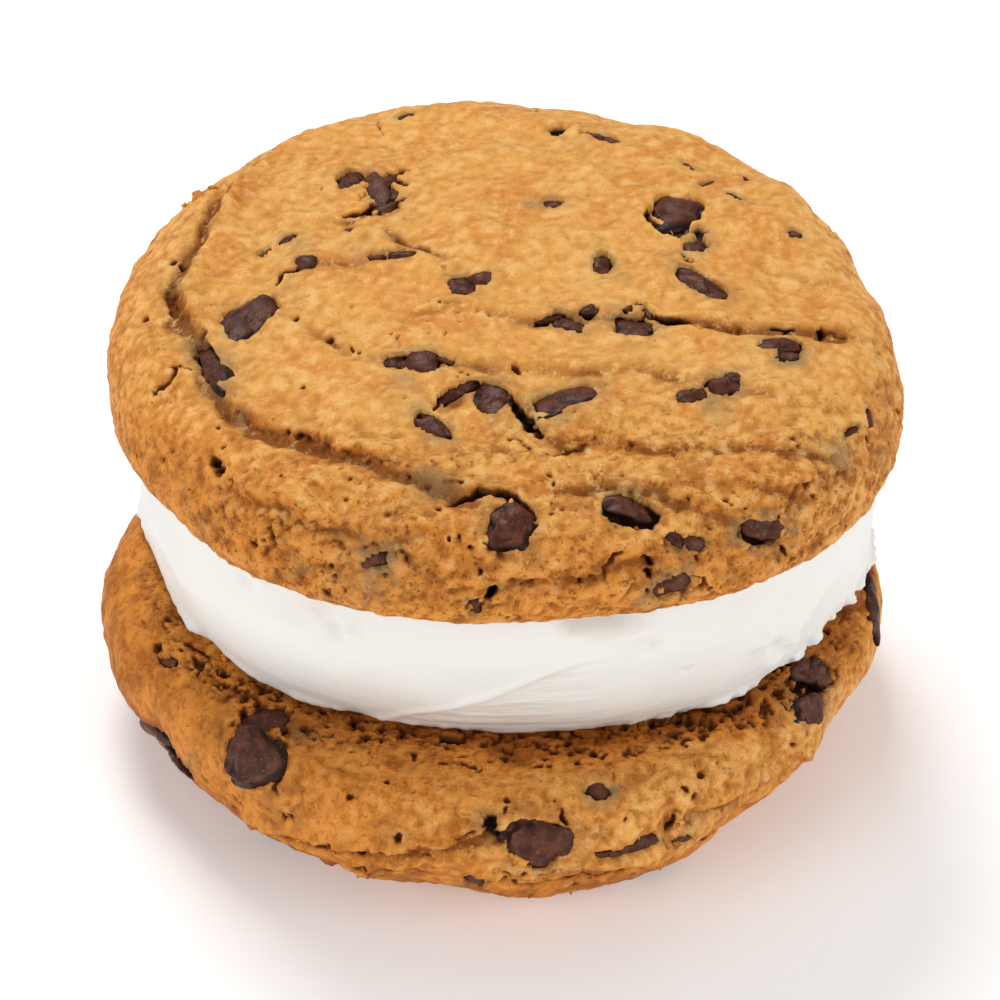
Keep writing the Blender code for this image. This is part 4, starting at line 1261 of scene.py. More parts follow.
def top_looks(points, outwards):
    """Coarser and browner crumb towards the rim, and most of all at the front."""
    steep = smooth(1 - outwards[:, 2], 0.05, 0.6)
    front = smooth(-points[:, 1] + 0.15 * points[:, 0], 14 * MM, 34 * MM)
    unseen = smooth(outwards @ np.array(view_direction), 0.0, 0.5)
    left = smooth(-points[:, 0], 15 * MM, 35 * MM)
    coarse = np.clip(0.10 + 0.40 * steep + 0.45 * front + 0.12 * left + 0.30 * unseen, 0, 1)
    front_left = smooth(-points[:, 1] - 0.25 * points[:, 0], 14 * MM, 34 * MM)
    bake = np.clip(0.42 * steep + 0.28 * front_left + 0.12 * left, 0, 1)
    return coarse, bake, np.zeros(len(points))


def bottom_looks(points, outwards):
    """Coarse and brown all over, darkest where the flat side comes out from under the cream, partly baked
    brown and partly painted shade of the cream's overhang; faces that turn down are browned as painted
    shade.
    """
    away = from_cream(points) + NEAR_CREAM_UNEVENNESS * ripple(points, 3.5 * MM, 2.0)
    near_cream = 1 - smooth(away, *NEAR_CREAM_REACH)
    below = smooth(-outwards[:, 2], 0.0, 0.7)
    coarse = np.clip(0.50 + 0.45 * near_cream, 0, 1)
    left = np.maximum(-points[:, 0], 0)
    # Painted shade: beside the cream the crust is made browner, partly baked brown and partly the shade of
    # the cream's overhang, less so on the left.
    near_cream_shade_and_bake = 0.95 - left * NEAR_CREAM_LEFT_FADE
    right = np.maximum(points[:, 0], 0)
    # Painted shade: faces that turn down are made browner.
    bake = 0.50 + left * LEFT_BROWNING - right * RIGHT_PALING + near_cream_shade_and_bake * near_cream + 0.50 * below
    return coarse, np.clip(bake, 0, 1.6), near_cream * smooth(-points[:, 1], 2 * MM, 22 * MM)


roughen(top_crust, top_features, top_looks, TOP_FLAT, TOP_FLAT, 1)
roughen(bottom_crust, bottom_features, bottom_looks, BOTTOM_FLAT, 0.0, 20)
heights = points_of(top_crust)[:, 2] / MM
print("upper crust from", round(min(heights), 2), "to", round(max(heights), 2), "mm")

# %% [markdown]
# ## Chocolate chips
# A baking chip is a blunt drop that softens in the oven. Only its upper face shows, so one low, rounded
# button is modelled: a sphere cut off below and flattened above. Each chip is a copy of it, stretched to
# its own half axes, roughened, and set so deep that the dough closes over its edge.

# %% One chip, and a copy for each place
CHIP_THICKNESS = 1.5 * MM
CHIP_OVERLAP = 1.15
CHIP_LEAN = 0.22 * MM
CHIP_LOBES = 0.42
CHIP_ROUNDNESS = 0.5
EMPTY_BELOW = -0.45 * MM
CHIP_CREASE = 0.30 * MM
CREASE_SHARPNESS = 0.13
CREASE_SIZE = 2.0 * MM
CREASE_BREAK_SIZE = 2.8 * MM
CHIP_LUMP = 0.30 * MM
CHIP_LUMP_SIZE = 2.2 * MM
CHIP_GRAIN_SIZE = 0.9 * MM
CHIP_SUBDIVISIONS = 4
CHIP_CUT = -0.3


def chip_pattern():
    """A ball of radius 1, cut off below and flattened above."""
    bpy.ops.object.select_all(action="DESELECT")
    bpy.ops.mesh.primitive_ico_sphere_add(subdivisions=CHIP_SUBDIVISIONS, radius=1.0)
    pattern = bpy.context.object
    bpy.ops.object.mode_set(mode="EDIT")
    bpy.ops.mesh.select_all(action="SELECT")
    bpy.ops.mesh.bisect(plane_co=(0, 0, CHIP_CUT), plane_no=(0, 0, 1), use_fill=True, clear_inner=True)
    bpy.ops.object.mode_set(mode="OBJECT")
    points = points_of(pattern)
    above = points[:, 2] > 0
    points[above, 2] = points[above, 2] ** CHIP_ROUNDNESS
    put_points(pattern, points)
    bpy.ops.object.shade_smooth()
    return pattern


def join(name, parts):
    """Makes one object of many."""
    only(parts[0])
    for part in parts:
        part.select_set(True)
    bpy.ops.object.join()
    piece = bpy.context.object
    piece.name = name
    return piece


def place_chips(name, pattern, features, seed):
    """One copy of the pattern for each chip, stretched, roughened and set into its socket."""
    draw = random.Random(seed)
    parts = []
    for number, chip in enumerate(features["chips"]):
        if chip["rise"] < EMPTY_BELOW:
            continue
        part = pattern.copy()
        part.data = pattern.data.copy()
        bpy.context.collection.objects.link(part)
        unit = points_of(part)
        away = np.hypot(unit[:, 0], unit[:, 1])
        spread = oval_share(unit[:, 0], unit[:, 1], chip["power"])
        lobes = 1 + CHIP_LOBES * ripple(unit, 0.9, seed + 3.7 * number)
        unit[:, :2] *= (lobes * away / np.maximum(spread, 1e-6))[:, None]
        along, across = np.array(chip["along"]), np.array(chip["across"])
        outward = np.array(chip["outward"])
        points = np.array(chip["place"]) + unit[:, :1] * along * CHIP_OVERLAP
        points += unit[:, 1:2] * across * CHIP_OVERLAP
        lean = unit[:, :1] * draw.uniform(-1, 1) + unit[:, 1:2] * draw.uniform(-1, 1)
        points += outward * (chip["rise"] + (unit[:, 2:] - 1) * CHIP_THICKNESS + lean * CHIP_LEAN)
        size = min(chip["along"].length, chip["across"].length)
        rough = ripple(points, CHIP_LUMP_SIZE, seed + number) * min(CHIP_LUMP, 0.25 * size)
        rough += ripple(points, CHIP_GRAIN_SIZE, seed + number) * 0.10 * MM
        crease = hill(ripple(points, CREASE_SIZE, seed + 2 * number), CREASE_SHARPNESS)
        crease *= smooth(ripple(points, CREASE_BREAK_SIZE, seed - number), -0.15, 0.05)
        points += outward * (rough - CHIP_CREASE * crease)[:, None]
        put_points(part, points)
        # Painted shade: this value grows towards the rim of the chip, towards its front and in its creases,
        # and the finish paints the chip darker there.
        towards_front = (chip["place"].y - points[:, 1]) / (abs(along[1]) + abs(across[1]))
        keep_value(part, "edge", away + 0.15 * towards_front + 0.40 * crease)
        parts.append(part)
    return join(name, parts)


chip = chip_pattern()
top_chips = place_chips("top_chips", chip, top_features, 40)
bottom_chips = place_chips("bottom_chips", chip, bottom_features, 70)
bpy.data.objects.remove(chip)
print("chips have", triangles_of(top_chips), "and", triangles_of(bottom_chips), "triangles")

# %% [markdown]
# ## Crumbs
# Handling breaks small crumbs off the torn edges, and they stay where they fall. One small ball is
# modelled, and copies of it are stretched, roughened and pressed a little into the crust: a few where
# the photograph shows one, given by pixel and radius in millimetres, and the rest beside the cracks.

# %% Crumbs
TOP_CRUMBS = (
    (364, 582.5, 0.6), (369, 579.5, 0.45), (359, 586, 0.4),
    (501, 554, 0.45), (545, 606, 0.45), (611, 669, 0.5), (621, 662, 0.5), (463.5, 733, 0.45),
    (469.5, 738, 0.4),
    (425, 578, 0.6), (424, 582, 0.5), (488, 667, 0.35), (479, 691, 0.4), (534, 727, 0.4), (538, 729.5, 0.35),
)
BOTTOM_CRUMBS = (
    (366, 747, 1.1), (370, 749.5, 0.9), (374, 752.5, 0.7), (482, 827, 0.8), (485, 829, 0.6),
    (479, 824.5, 0.4),
    (586, 765, 0.5), (398, 812, 0.4), (540, 814, 0.5),
)
SCATTERED = 70
SCATTER_REACH = 2.5 * MM
SCATTERED_SIZES = (0.14, 0.34)
CRUMB_LIFT = 0.2


def value_near(piece, name, points):
    """A piece's stored value at the point of it that is nearest to each given point."""
    tree = tree_of([vertex.co for vertex in piece.data.vertices])
    values = np.empty(len(piece.data.vertices), np.float32)
    piece.data.attributes[name].data.foreach_get("value", values)
    return np.array([values[tree.find(point)[1]] for point in points.tolist()])


def crumb_places(piece, chips, features, named, draw):
    """Place, outward direction and radius of each crumb."""
    surface = surface_of(piece)
    spots = []
    for x, y, reach in named:
        hits = [seen_at(surface, x, y), seen_at(surface_of(chips), x, y)]
        spots.append((*min(hits, key=lambda hit: (hit[0] - camera_place).length), reach * MM))
    for _ in range(SCATTERED):
        middle = draw.choice(features["cracks"])[0]
        shift = Vector([draw.gauss(0, 1) for _ in range(3)]) * SCATTER_REACH
        place, outward, _, _ = surface.find_nearest(middle + shift)
        spots.append((place, outward, draw.uniform(*SCATTERED_SIZES) * MM))
    return spots


def scatter_crumbs(name, piece, chips, features, named, seed):
    """All crumbs of a crust as one piece, which keeps the crust's browning."""
    draw = random.Random(seed)
    bpy.ops.object.select_all(action="DESELECT")
    bpy.ops.mesh.primitive_ico_sphere_add(subdivisions=2, radius=1.0)
    bpy.ops.object.shade_smooth()
    pattern = bpy.context.object
    parts = []
    for place, outward, reach in crumb_places(piece, chips, features, named, draw):
        part = pattern.copy()
        part.data = pattern.data.copy()
        bpy.context.collection.objects.link(part)
        points = points_of(part)
        points *= 1 + 0.9 * ripple(points, 0.9, draw.uniform(0, 50))[:, None]
        points *= np.array([draw.uniform(0.7, 1.25) for _ in range(3)]) * reach
        put_points(part, points + np.array(place + outward * reach * CRUMB_LIFT))
        parts.append(part)
    bpy.data.objects.remove(pattern)
    crumbs = join(name, parts)
    points = points_of(crumbs)
    # The raised value sets the crumbs' painted highlights and painted shade in the crust's finish.
    keep_value(crumbs, "raised", 0.5 + 0.5 * ripple(points, 0.5 * MM))
    keep_value(crumbs, "coarse", np.full(len(points), 0.5))
    keep_value(crumbs, "bake", value_near(piece, "bake", points))
    return crumbs


top_crumbs = scatter_crumbs("top_crumbs", top_crust, top_chips, top_features, TOP_CRUMBS, 5)
bottom_crumbs = scatter_crumbs("bottom_crumbs", bottom_crust, bottom_chips, bottom_features,
                               BOTTOM_CRUMBS, 6)
print("crumbs have", triangles_of(top_crumbs), "and", triangles_of(bottom_crumbs), "triangles")

# %% [markdown]
# ## Cream
# The cream was spread with a knife and pressed by the upper cookie. It stands upright above and draws in
# below, most of all at the front. It is turned like the cookies, remeshed and pulled to its uneven plan.

# %% Cream body
CREAM_RADIUS = 40.4 * MM
CREAM_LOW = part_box("cream")[0].z
CREAM_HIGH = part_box("cream")[1].z
CREAM_UPRIGHT_FROM = 37.0 * MM
CREAM_TAPER_POWER = 1.5
CREAM_ABOVE = {"half width": 41.1 * MM, "front": 39.4 * MM, "back": 40.2 * MM, "sideways": 1.0 * MM}
CREAM_BELOW = {"half width": 39.6 * MM, "front": 29.2 * MM, "back": 36.2 * MM, "sideways": 2.0 * MM}
CREAM_WAVES = ((3, 0.004, 200), (5, 0.005, 75), (9, 0.003, 10))
CREAM_LUMP = 0.5 * MM
CREAM_VOXEL = 0.45 * MM
CREAM_ROUNDING = 0.6 * MM


def cream_section():
    """From the middle of the upper side over the upright side to the middle of the lower one."""
    points = [(0.0, CREAM_HIGH)]
    inner = CREAM_RADIUS - CREAM_ROUNDING
    points += arc((inner, CREAM_HIGH - CREAM_ROUNDING), CREAM_ROUNDING, CREAM_ROUNDING, 90, 0, 3)
    for share in (0.3, 0.45, 0.6, 0.75, 0.9):
        points.append((CREAM_RADIUS, CREAM_HIGH + (CREAM_LOW - CREAM_HIGH) * share))
    points += arc((inner, CREAM_LOW + CREAM_ROUNDING), CREAM_ROUNDING, CREAM_ROUNDING, 0, -90, 3)
    return points + [(0.0, CREAM_LOW)]


def cream_body():
    """The turned cream, pulled from a circle to its own plan, which differs above and below."""
    piece = turned("cream_filling", cream_section())
    apply_modifier(piece, "REMESH", mode="VOXEL", voxel_size=CREAM_VOXEL, use_smooth_shade=True)
    make_uneven(piece, CREAM_WAVES)
    points = points_of(piece)
    share = np.clip((CREAM_UPRIGHT_FROM - points[:, 2]) / (CREAM_UPRIGHT_FROM - CREAM_LOW), 0, 1)
    below = share ** CREAM_TAPER_POWER
    plan = {key: CREAM_ABOVE[key] + (CREAM_BELOW[key] - CREAM_ABOVE[key]) * below for key in CREAM_ABOVE}
    depth = np.where(points[:, 1] > 0, plan["back"], plan["front"])
    points[:, 0] = points[:, 0] * plan["half width"] / CREAM_RADIUS + plan["sideways"]
    points[:, 1] *= depth / CREAM_RADIUS
    on_side = np.clip(4 * np.minimum(CREAM_HIGH - points[:, 2], points[:, 2] - CREAM_LOW)
                      / (CREAM_HIGH - CREAM_LOW), 0, 1)
    points[:, :2] *= (1 + ripple(points, LUMP_SIZE) * CREAM_LUMP / CREAM_RADIUS * on_side)[:, None]
    put_points(piece, points + np.array(PIE_MIDDLE))
    return piece


cream_filling = cream_body()
print("cream has", triangles_of(cream_filling), "triangles")

# %% [markdown]
# Its lower edge shows against the lower cookie, as a row of pixels. The foot is drawn in or out to that
# edge. The broad part of this reaches far up the side, and the ragged part stays at the foot.

# %% Foot of the cream
CREAM_EDGE = (
    (341, 697), (350, 718), (357, 735), (362, 743.5), (368, 745.5), (375, 752), (384, 759.5), (395, 765),
    (402, 769), (415, 772), (424, 773), (436, 777), (460, 779.5), (490, 780.5), (513, 778.5), (530, 776.5),
    (545, 772.5), (558, 769.5), (564, 767.5), (569.5, 764), (571, 759.5), (578, 756), (585, 754),
    (588, 748.5), (592.5, 746), (593, 740.5), (600, 736), (605, 729.5), (609, 724), (613, 718),
)
EDGE_REACH = 15 * MM
RAGGED_REACH = 2.4 * MM
FOOT_BAND = 0.5 * MM
SECTOR = math.radians(1.5)
SIDE_FADE = 0.4
BROAD_SPAN = 25


def on_level(x, y, height):
    """Where the line of sight through a pixel comes down to a height."""
    direction = sight(x, y)
    return camera_place + direction * ((height - camera_place.z) / direction.z)


def follow_edge(piece):
    """Draws the foot in or out to the edge that the photograph shows, and fades this out upwards."""
    points = points_of(piece) - np.array(PIE_MIDDLE)
    angles = np.arctan2(points[:, 0], -points[:, 1])
    radii = np.hypot(points[:, 0], points[:, 1])
    foot = points[:, 2] < CREAM_LOW + FOOT_BAND
    steps = np.radians(np.arange(-180, 181))
    now = np.array([radii[foot & (np.abs(angles - step) < SECTOR)].max() for step in steps])
    seen = [on_level(x, y, CREAM_LOW) - PIE_MIDDLE for x, y in CREAM_EDGE]
    turns = [math.atan2(place.x, -place.y) for place in seen]
    wanted = np.interp(steps, turns, [place.xy.length for place in seen])
    shown = smooth(steps, turns[0] - SIDE_FADE, turns[0])
    shown *= 1 - smooth(steps, turns[-1], turns[-1] + SIDE_FADE)
    change = np.where(shown > 0, (wanted / now - 1) * shown, 0)
    around = np.pad(change, BROAD_SPAN // 2, mode="wrap")
    broad = np.convolve(around, np.ones(BROAD_SPAN) / BROAD_SPAN, mode="valid")
    height = points[:, 2] - CREAM_LOW
    share = np.interp(angles, steps, broad) * (1 - smooth(height, 2 * MM, EDGE_REACH))
    share += np.interp(angles, steps, change - broad) * (1 - smooth(height, 0.5 * MM, RAGGED_REACH))
    points[:, :2] *= (1 + share)[:, None]
    put_points(piece, points + np.array(PIE_MIDDLE))
    percent = 100 * change
    print("foot moved by", round(percent.min(), 1), "to", round(percent.max(), 1), "% of its radius")


follow_edge(cream_filling)

# %% [markdown]
# The knife leaves long, nearly level strokes, so the noise for them is stretched along the turn. At the
# front the foot is turned under a crease that rises to the right. The lowest edge is torn where the
# cream let go of the lower cookie.

# %% Spread marks, crease and ragged foot
CREAM_BUMPS = {
    "left bump": (408, 737, 1.3, 0.50),
    "left dimple": (414, 741, 1.1, -0.55),
    "left bump, right": (420, 743, 1.0, 0.45),
    "far left dimple": (381, 722, 1.0, -0.40),
    "far left bump": (387, 724, 1.0, 0.35),
    "tuck under the rim": (502, 737.5, 1.6, -2.6), "tuck, middle": (510, 737.5, 1.7, -3.4),
    "tuck, right": (518, 737.5, 1.6, -3.2), "bank of the tuck": (526, 741.5, 1.6, 0.9),
    "speck at the tuck": (503, 744, 0.7, 0.25),
    "dimple one": (531, 747.5, 0.8, -0.60), "dimple two": (543, 757, 0.7, -0.50),
    "swirl, left wall": (571, 746, 1.2, 0.85), "swirl, hollow": (576, 748, 1.1, -0.85),
    "swirl, right wall": (582, 745, 1.1, 0.80), "swirl, foot": (575, 754, 1.5, 0.60),
}
CREAM_CREASE = (
    (416, 775), (432, 774), (445, 772), (462, 768.5), (480, 763), (494, 756.5), (506, 752), (530, 747),
)
CREASE_REACH = 6.0 * MM
CREASE_DEPTH = 0.6 * MM
CREASE_RIDGE = 0.45 * MM
LIP_HEIGHT = 0.40 * MM
STROKE_LENGTH = 11 * MM
STROKE_WIDTH = 1.1 * MM
STROKE_WAVE = 1.2 * MM
CREAM_SWELL = 0.34 * MM
CREAM_SWELL_SIZE = 9 * MM
RIDGE_WIDTH = 0.8 * MM
CREASE_STROKES = 0.30 * MM
LIP_PLACE = 0.9 * MM
LIP_WIDTH = 0.7 * MM
TORN_HEIGHT = 2.2 * MM


def spread_marks(piece):
    """Gives the side of the cream its strokes, bumps, crease and torn foot."""
    points = points_of(piece)
    outwards = outwards_of(piece)
    surface = surface_of(piece)
    angles = np.arctan2(points[:, 1], points[:, 0])
    climb = points[:, 2] + STROKE_WAVE * np.sin(3 * angles + 1)
    along = np.stack([np.cos(angles) * CREAM_RADIUS, np.sin(angles) * CREAM_RADIUS,
                      climb * STROKE_LENGTH / STROKE_WIDTH], 1)
    side = smooth(np.hypot(outwards[:, 0], outwards[:, 1]), 0.3, 0.8)
    low = smooth(CREAM_LOW + 9 * MM - points[:, 2], 0, 5 * MM)
    behind = smooth(points[:, 1], 0, 15 * MM)
    height = (0.03 + 0.10 * low + 0.15 * behind) * MM * ripple(along, STROKE_LENGTH, 3)
    height += CREAM_SWELL * ripple(points, CREAM_SWELL_SIZE, 5)
    worked = np.zeros(len(points))
    for x, y, reach, rise in CREAM_BUMPS.values():
        place, _ = seen_at(surface, x, y)
        distance = far_from(points, place)
        height += rise * MM * hill(distance, reach * MM)
        worked = np.maximum(worked, hill(distance, 1.6 * reach * MM))
    crease = [seen_at(surface, x, y)[0] for x, y in CREAM_CREASE]
    level = np.interp(points[:, 0], [p.x for p in crease], [p.z for p in crease])
    at_front = smooth(-points[:, 1], 10 * MM, 20 * MM)
    ends = smooth(points[:, 0], crease[0].x, crease[1].x)
    ends *= 1 - smooth(points[:, 0], crease[-4].x, crease[-1].x)
    under = np.clip((level - points[:, 2]) / CREASE_REACH, 0, 1)
    ridge = hill(points[:, 2] - level, RIDGE_WIDTH)
    height += at_front * ends * (CREASE_RIDGE * ridge - CREASE_DEPTH * under ** 0.7)
    below = at_front * ends * smooth(level - points[:, 2], 0, RIDGE_WIDTH)
    height += CREASE_STROKES * below * ripple(along, STROKE_LENGTH, 13)
    at_left = smooth(-points[:, 0], -6 * MM, 6 * MM) * smooth(-points[:, 1], 0, 12 * MM)
    height += LIP_HEIGHT * at_left * hill(points[:, 2] - CREAM_LOW - LIP_PLACE, LIP_WIDTH)
    foot = smooth(CREAM_LOW + TORN_HEIGHT - points[:, 2], 0, TORN_HEIGHT)
    torn = 0.5 + 2.0 * smooth(points[:, 0], 6 * MM, 20 * MM) + 1.5 * smooth(points[:, 1], 0, 15 * MM)
    ragged = 0.35 * MM * ripple(points, 2.6 * MM, 7) + 0.45 * MM * ripple(points, 1.2 * MM, 8)
    height += foot * torn * ragged
    points[:, :2] += outwards[:, :2] * (height * side)[:, None]
    put_points(piece, points)
    # Painted shade: this value also sets how much warm grey the finish paints under the crease, at the foot
    # and round the bumps.
    keep_value(piece, "streaky_and_shaded", np.maximum.reduce([below, 0.3 * low, 0.6 * worked]) * side)


spread_marks(cream_filling)
dissolve_flat(cream_filling, CREAM_HIGH, half_width=35 * MM, front=33 * MM, back=35 * MM)
dissolve_flat(cream_filling, CREAM_LOW, half_width=30 * MM, front=23 * MM, back=29 * MM)
print("cream has", triangles_of(cream_filling), "triangles")

# %% [markdown]
# ## Materials
# Every finish is built from small steps, so a few helpers keep the node trees readable. A node's
# sockets are filled either with a value or with another node's output.

# %% Material helpers


def colour_of(red, green, blue):
    """A shade given as screen values from 0 to 255, turned into the linear values that shaders use."""
    shade = []
    for value in (red, green, blue):
        value /= 255
        shade.append(value / 12.92 if value <= 0.04045 else ((value + 0.055) / 1.055) ** 2.4)
    return (*shade, 1.0)


def node(tree, kind, inputs=None, **settings):
    """A new node with its settings, and its inputs filled."""
    made = tree.nodes.new(kind)
    for name, value in settings.items():
        setattr(made, name, value)
    for name, value in (inputs or {}).items():
        if isinstance(value, bpy.types.NodeSocket):
            tree.links.new(value, made.inputs[name])
        else:
            made.inputs[name].default_value = value
    return made


def mixed(tree, share, first, second):
    """A colour between two, by a share."""
    return node(tree, "ShaderNodeMix", {0: share, 6: first, 7: second}, data_type="RGBA").outputs[2]


def times(tree, first, second):
    return node(tree, "ShaderNodeMath", {0: first, 1: second}, operation="MULTIPLY").outputs[0]


def added(tree, first, *others):
    for other in others:
        first = node(tree, "ShaderNodeMath", {0: first, 1: other}, operation="ADD").outputs[0]
    return first


def rising(tree, value, low, high):
    """0 at low, 1 at high, with a soft rise between them."""
    inputs = {"Value": value, "From Min": low, "From Max": high}
    return node(tree, "ShaderNodeMapRange", inputs, interpolation_type="SMOOTHSTEP").outputs[0]


def specks(tree, place, size, detail=2.0, roughness=0.5):
    """Smooth noise with blots of a size."""
    inputs = {"Vector": place, "Scale": 1 / size, "Detail": detail, "Roughness": roughness}
    return node(tree, "ShaderNodeTexNoise", inputs).outputs[0]


def stored(tree, name):
    """A value that was kept with the points."""
    return node(tree, "ShaderNodeAttribute", attribute_name=name).outputs["Fac"]


def new_material(name):
    """A material with its tree, its shader and the place on the piece that its noises are read at."""
    material = bpy.data.materials.new(name)
    material.use_nodes = True
    tree = material.node_tree
    place = node(tree, "ShaderNodeTexCoord").outputs["Object"]
    return material, tree, tree.nodes["Principled BSDF"], place


def link_looks(tree, shader, colour, height, strength, distance):
    """Links a colour and a bump to the shader."""
    bump = node(tree, "ShaderNodeBump", {"Height": height, "Strength": strength, "Distance": distance})
    tree.links.new(colour, shader.inputs["Base Color"])
    tree.links.new(bump.outputs[0], shader.inputs["Normal"])


print("a middle grey of 128 on screen is", round(colour_of(128, 128, 128)[0], 3), "to a shader")

# %% [markdown]
# ### Baked crust
# Golden where the dome is smooth, browner at the rims and on the flat side. Coarse crumb is speckled with
# small brown hollows, partly browner crumb and partly painted shade, and raised crumb gets painted
# highlights. Furrows, cracks, pits and tears are painted darker with depth, down to black, as painted shade,
# and opened sockets get floors painted black as painted shadow. Dough that is thin over a chip looks olive,
# and the same olive is painted as shade where smudges lie in valleys and hollows.

# %% Crust
PALE_GOLD = colour_of(240, 192, 122)
GOLD = colour_of(230, 166, 84)
TAN = colour_of(217, 139, 56)
ORANGE = colour_of(220, 142, 64)
BROWN = colour_of(152, 80, 22)
SPOT_BROWN = colour_of(146, 78, 18)
OLIVE = colour_of(148, 126, 86)
CRACK_BROWN = colour_of(112, 58, 16)
CRACK_SHADE_BLACK = colour_of(30, 13, 5)


def crust_material():
    material, tree, shader, place = new_material("baked_crust")
    coarse = stored(tree, "coarse")
    raised = stored(tree, "raised")
    broad = specks(tree, place, 14 * MM)
    mottle = specks(tree, place, 3.0 * MM, 3.0, 0.6)
    grain = specks(tree, place, 0.95 * MM, 3.0, 0.65)
    fine = specks(tree, place, 0.36 * MM, 2.0, 0.6)
    browning = added(tree, stored(tree, "bake"), times(tree, broad, 0.7), times(tree, mottle, 1.1), -0.95)
    patches = specks(tree, place, 6.5 * MM, 3.0, 0.55)
    colour = mixed(tree, times(tree, rising(tree, patches, 0.46, 0.66), 0.75), GOLD, ORANGE)
    colour = mixed(tree, times(tree, rising(tree, patches, 0.44, 0.30), 0.35), colour, PALE_GOLD)
    colour = mixed(tree, rising(tree, browning, 0.0, 0.65), colour, TAN)
    colour = mixed(tree, rising(tree, browning, 0.65, 1.5), colour, BROWN)
    # Painted shade: valley floors are painted browner, darkest along deep furrows.
    furrow = stored(tree, "furrow")
    colour = mixed(tree, times(tree, furrow, 0.75), colour, SPOT_BROWN)
    colour = mixed(tree, times(tree, rising(tree, furrow, 0.55, 1.0), 0.55), colour, CRACK_BROWN)
    # Painted shade: the crumb's hollows are made browner, partly browner crumb and partly shade that falls
    # in them.
    hollow = rising(tree, added(tree, raised, times(tree, grain, 0.9)), 1.0, 0.55)
    hollow = times(tree, hollow, added(tree, times(tree, coarse, 0.55), 0.22))
    colour = mixed(tree, hollow, colour, SPOT_BROWN)
    spots = times(tree, rising(tree, grain, 0.57, 0.66), added(tree, times(tree, coarse, 0.90), 0.05))
    colour = mixed(tree, spots, colour, SPOT_BROWN)
    blotches = times(tree, rising(tree, mottle, 0.48, 0.66), times(tree, coarse, 0.68))
    colour = mixed(tree, times(tree, blotches, 0.65), colour, CRACK_BROWN)
    flecks = specks(tree, place, 0.70 * MM, 3.0, 0.65)
    flecks = times(tree, rising(tree, flecks, 0.56, 0.67), rising(tree, mottle, 0.36, 0.56))
    flecks = times(tree, flecks, added(tree, times(tree, coarse, 0.75), 0.12))
    colour = mixed(tree, flecks, colour, CRACK_BROWN)
    # Painted highlights: raised crumb is made paler gold, as where light catches it, and less so where the
    # crust is most brown.
    painted_highlights = rising(tree, added(tree, raised, times(tree, fine, 1.1)), 1.0, 1.5)
    painted_highlights = times(tree, painted_highlights, rising(tree, stored(tree, "bake"), 1.1, 0.1))
    colour = mixed(tree, times(tree, painted_highlights, 0.70), colour, PALE_GOLD)
    # The olive is the colour of dough thin over chocolate, and also painted shade where smudges lie in
    # valleys and hollows.
    halo = times(tree, stored(tree, "halo"), rising(tree, mottle, 0.30, 0.56))
    colour = mixed(tree, times(tree, halo, 0.85), colour, OLIVE)
    # Painted shade: the deeper a crack, pit or tear, the darker it is painted, down to black.
    dark = stored(tree, "dark")
    colour = mixed(tree, rising(tree, dark, 0.06, 0.50), colour, CRACK_BROWN)
    colour = mixed(tree, rising(tree, dark, 0.50, 1.0), colour, CRACK_SHADE_BLACK)
    # Painted shadow: where the crust is opened for a chip, its floor is painted black.
    colour = mixed(tree, rising(tree, stored(tree, "opened"), 0.35, 0.9), colour, CRACK_SHADE_BLACK)
    height = added(tree, times(tree, grain, 0.55), times(tree, fine, 0.35))
    strength = added(tree, times(tree, coarse, 0.6), 0.4)
    link_looks(tree, shader, colour, height, strength, 0.7 * MM)
    shader.inputs["Roughness"].default_value = 0.62
    shader.inputs["Specular IOR Level"].default_value = 0.30
    shader.inputs["IOR"].default_value = 1.30
    shader.inputs["Subsurface Weight"].default_value = 0.06
    shader.inputs["Subsurface Radius"].default_value = (1.0, 0.6, 0.3)
    shader.inputs["Subsurface Scale"].default_value = 0.8 * MM
    return material


crust_finish = crust_material()
print("the finish of the crust has", len(crust_finish.node_tree.nodes), "nodes")

# %% [markdown]
# ### Chocolate
# Dark, slightly purple, with a satin shine that breaks up over fine scratches and a few pale specks, partly
# fat and crumbs that sit on it and partly painted glints. Each chip's edge, front side and creases are
# painted darker, as painted shade where the dough shadows it.

# %% Chocolate
CHOCOLATE = colour_of(99, 56, 40)
CHOCOLATE_DARK = colour_of(66, 33, 22)
CHOCOLATE_SPECK_AND_GLINT = colour_of(160, 118, 92)
CHOCOLATE_EDGE_SHADE = colour_of(36, 16, 10)


def chocolate_material():
    material, tree, shader, place = new_material("chocolate")
    cloud = specks(tree, place, 1.6 * MM, 3.0, 0.6)
    speck_noise = specks(tree, place, 0.40 * MM, 2.0, 0.6)
    colour = mixed(tree, rising(tree, cloud, 0.34, 0.66), CHOCOLATE_DARK, CHOCOLATE)
    # Pale specks, partly fat and crumbs and partly painted glints.
    colour = mixed(tree, times(tree, rising(tree, speck_noise, 0.63, 0.74), 0.35), colour, CHOCOLATE_SPECK_AND_GLINT)
    # Painted shade: the chip is painted darker at its edge, its front and its creases.
    edge = added(tree, stored(tree, "edge"), times(tree, cloud, 0.5), -0.25)
    colour = mixed(tree, rising(tree, edge, 0.80, 1.06), colour, CHOCOLATE_EDGE_SHADE)
    height = added(tree, cloud, times(tree, speck_noise, 0.35))
    link_looks(tree, shader, colour, height, 0.4, 0.35 * MM)
    shader.inputs["Roughness"].default_value = 0.40
    shader.inputs["Specular IOR Level"].default_value = 0.35
    shader.inputs["IOR"].default_value = 1.33
    return material


chocolate_finish = chocolate_material()
print("the finish of the chocolate has", len(chocolate_finish.node_tree.nodes), "nodes")

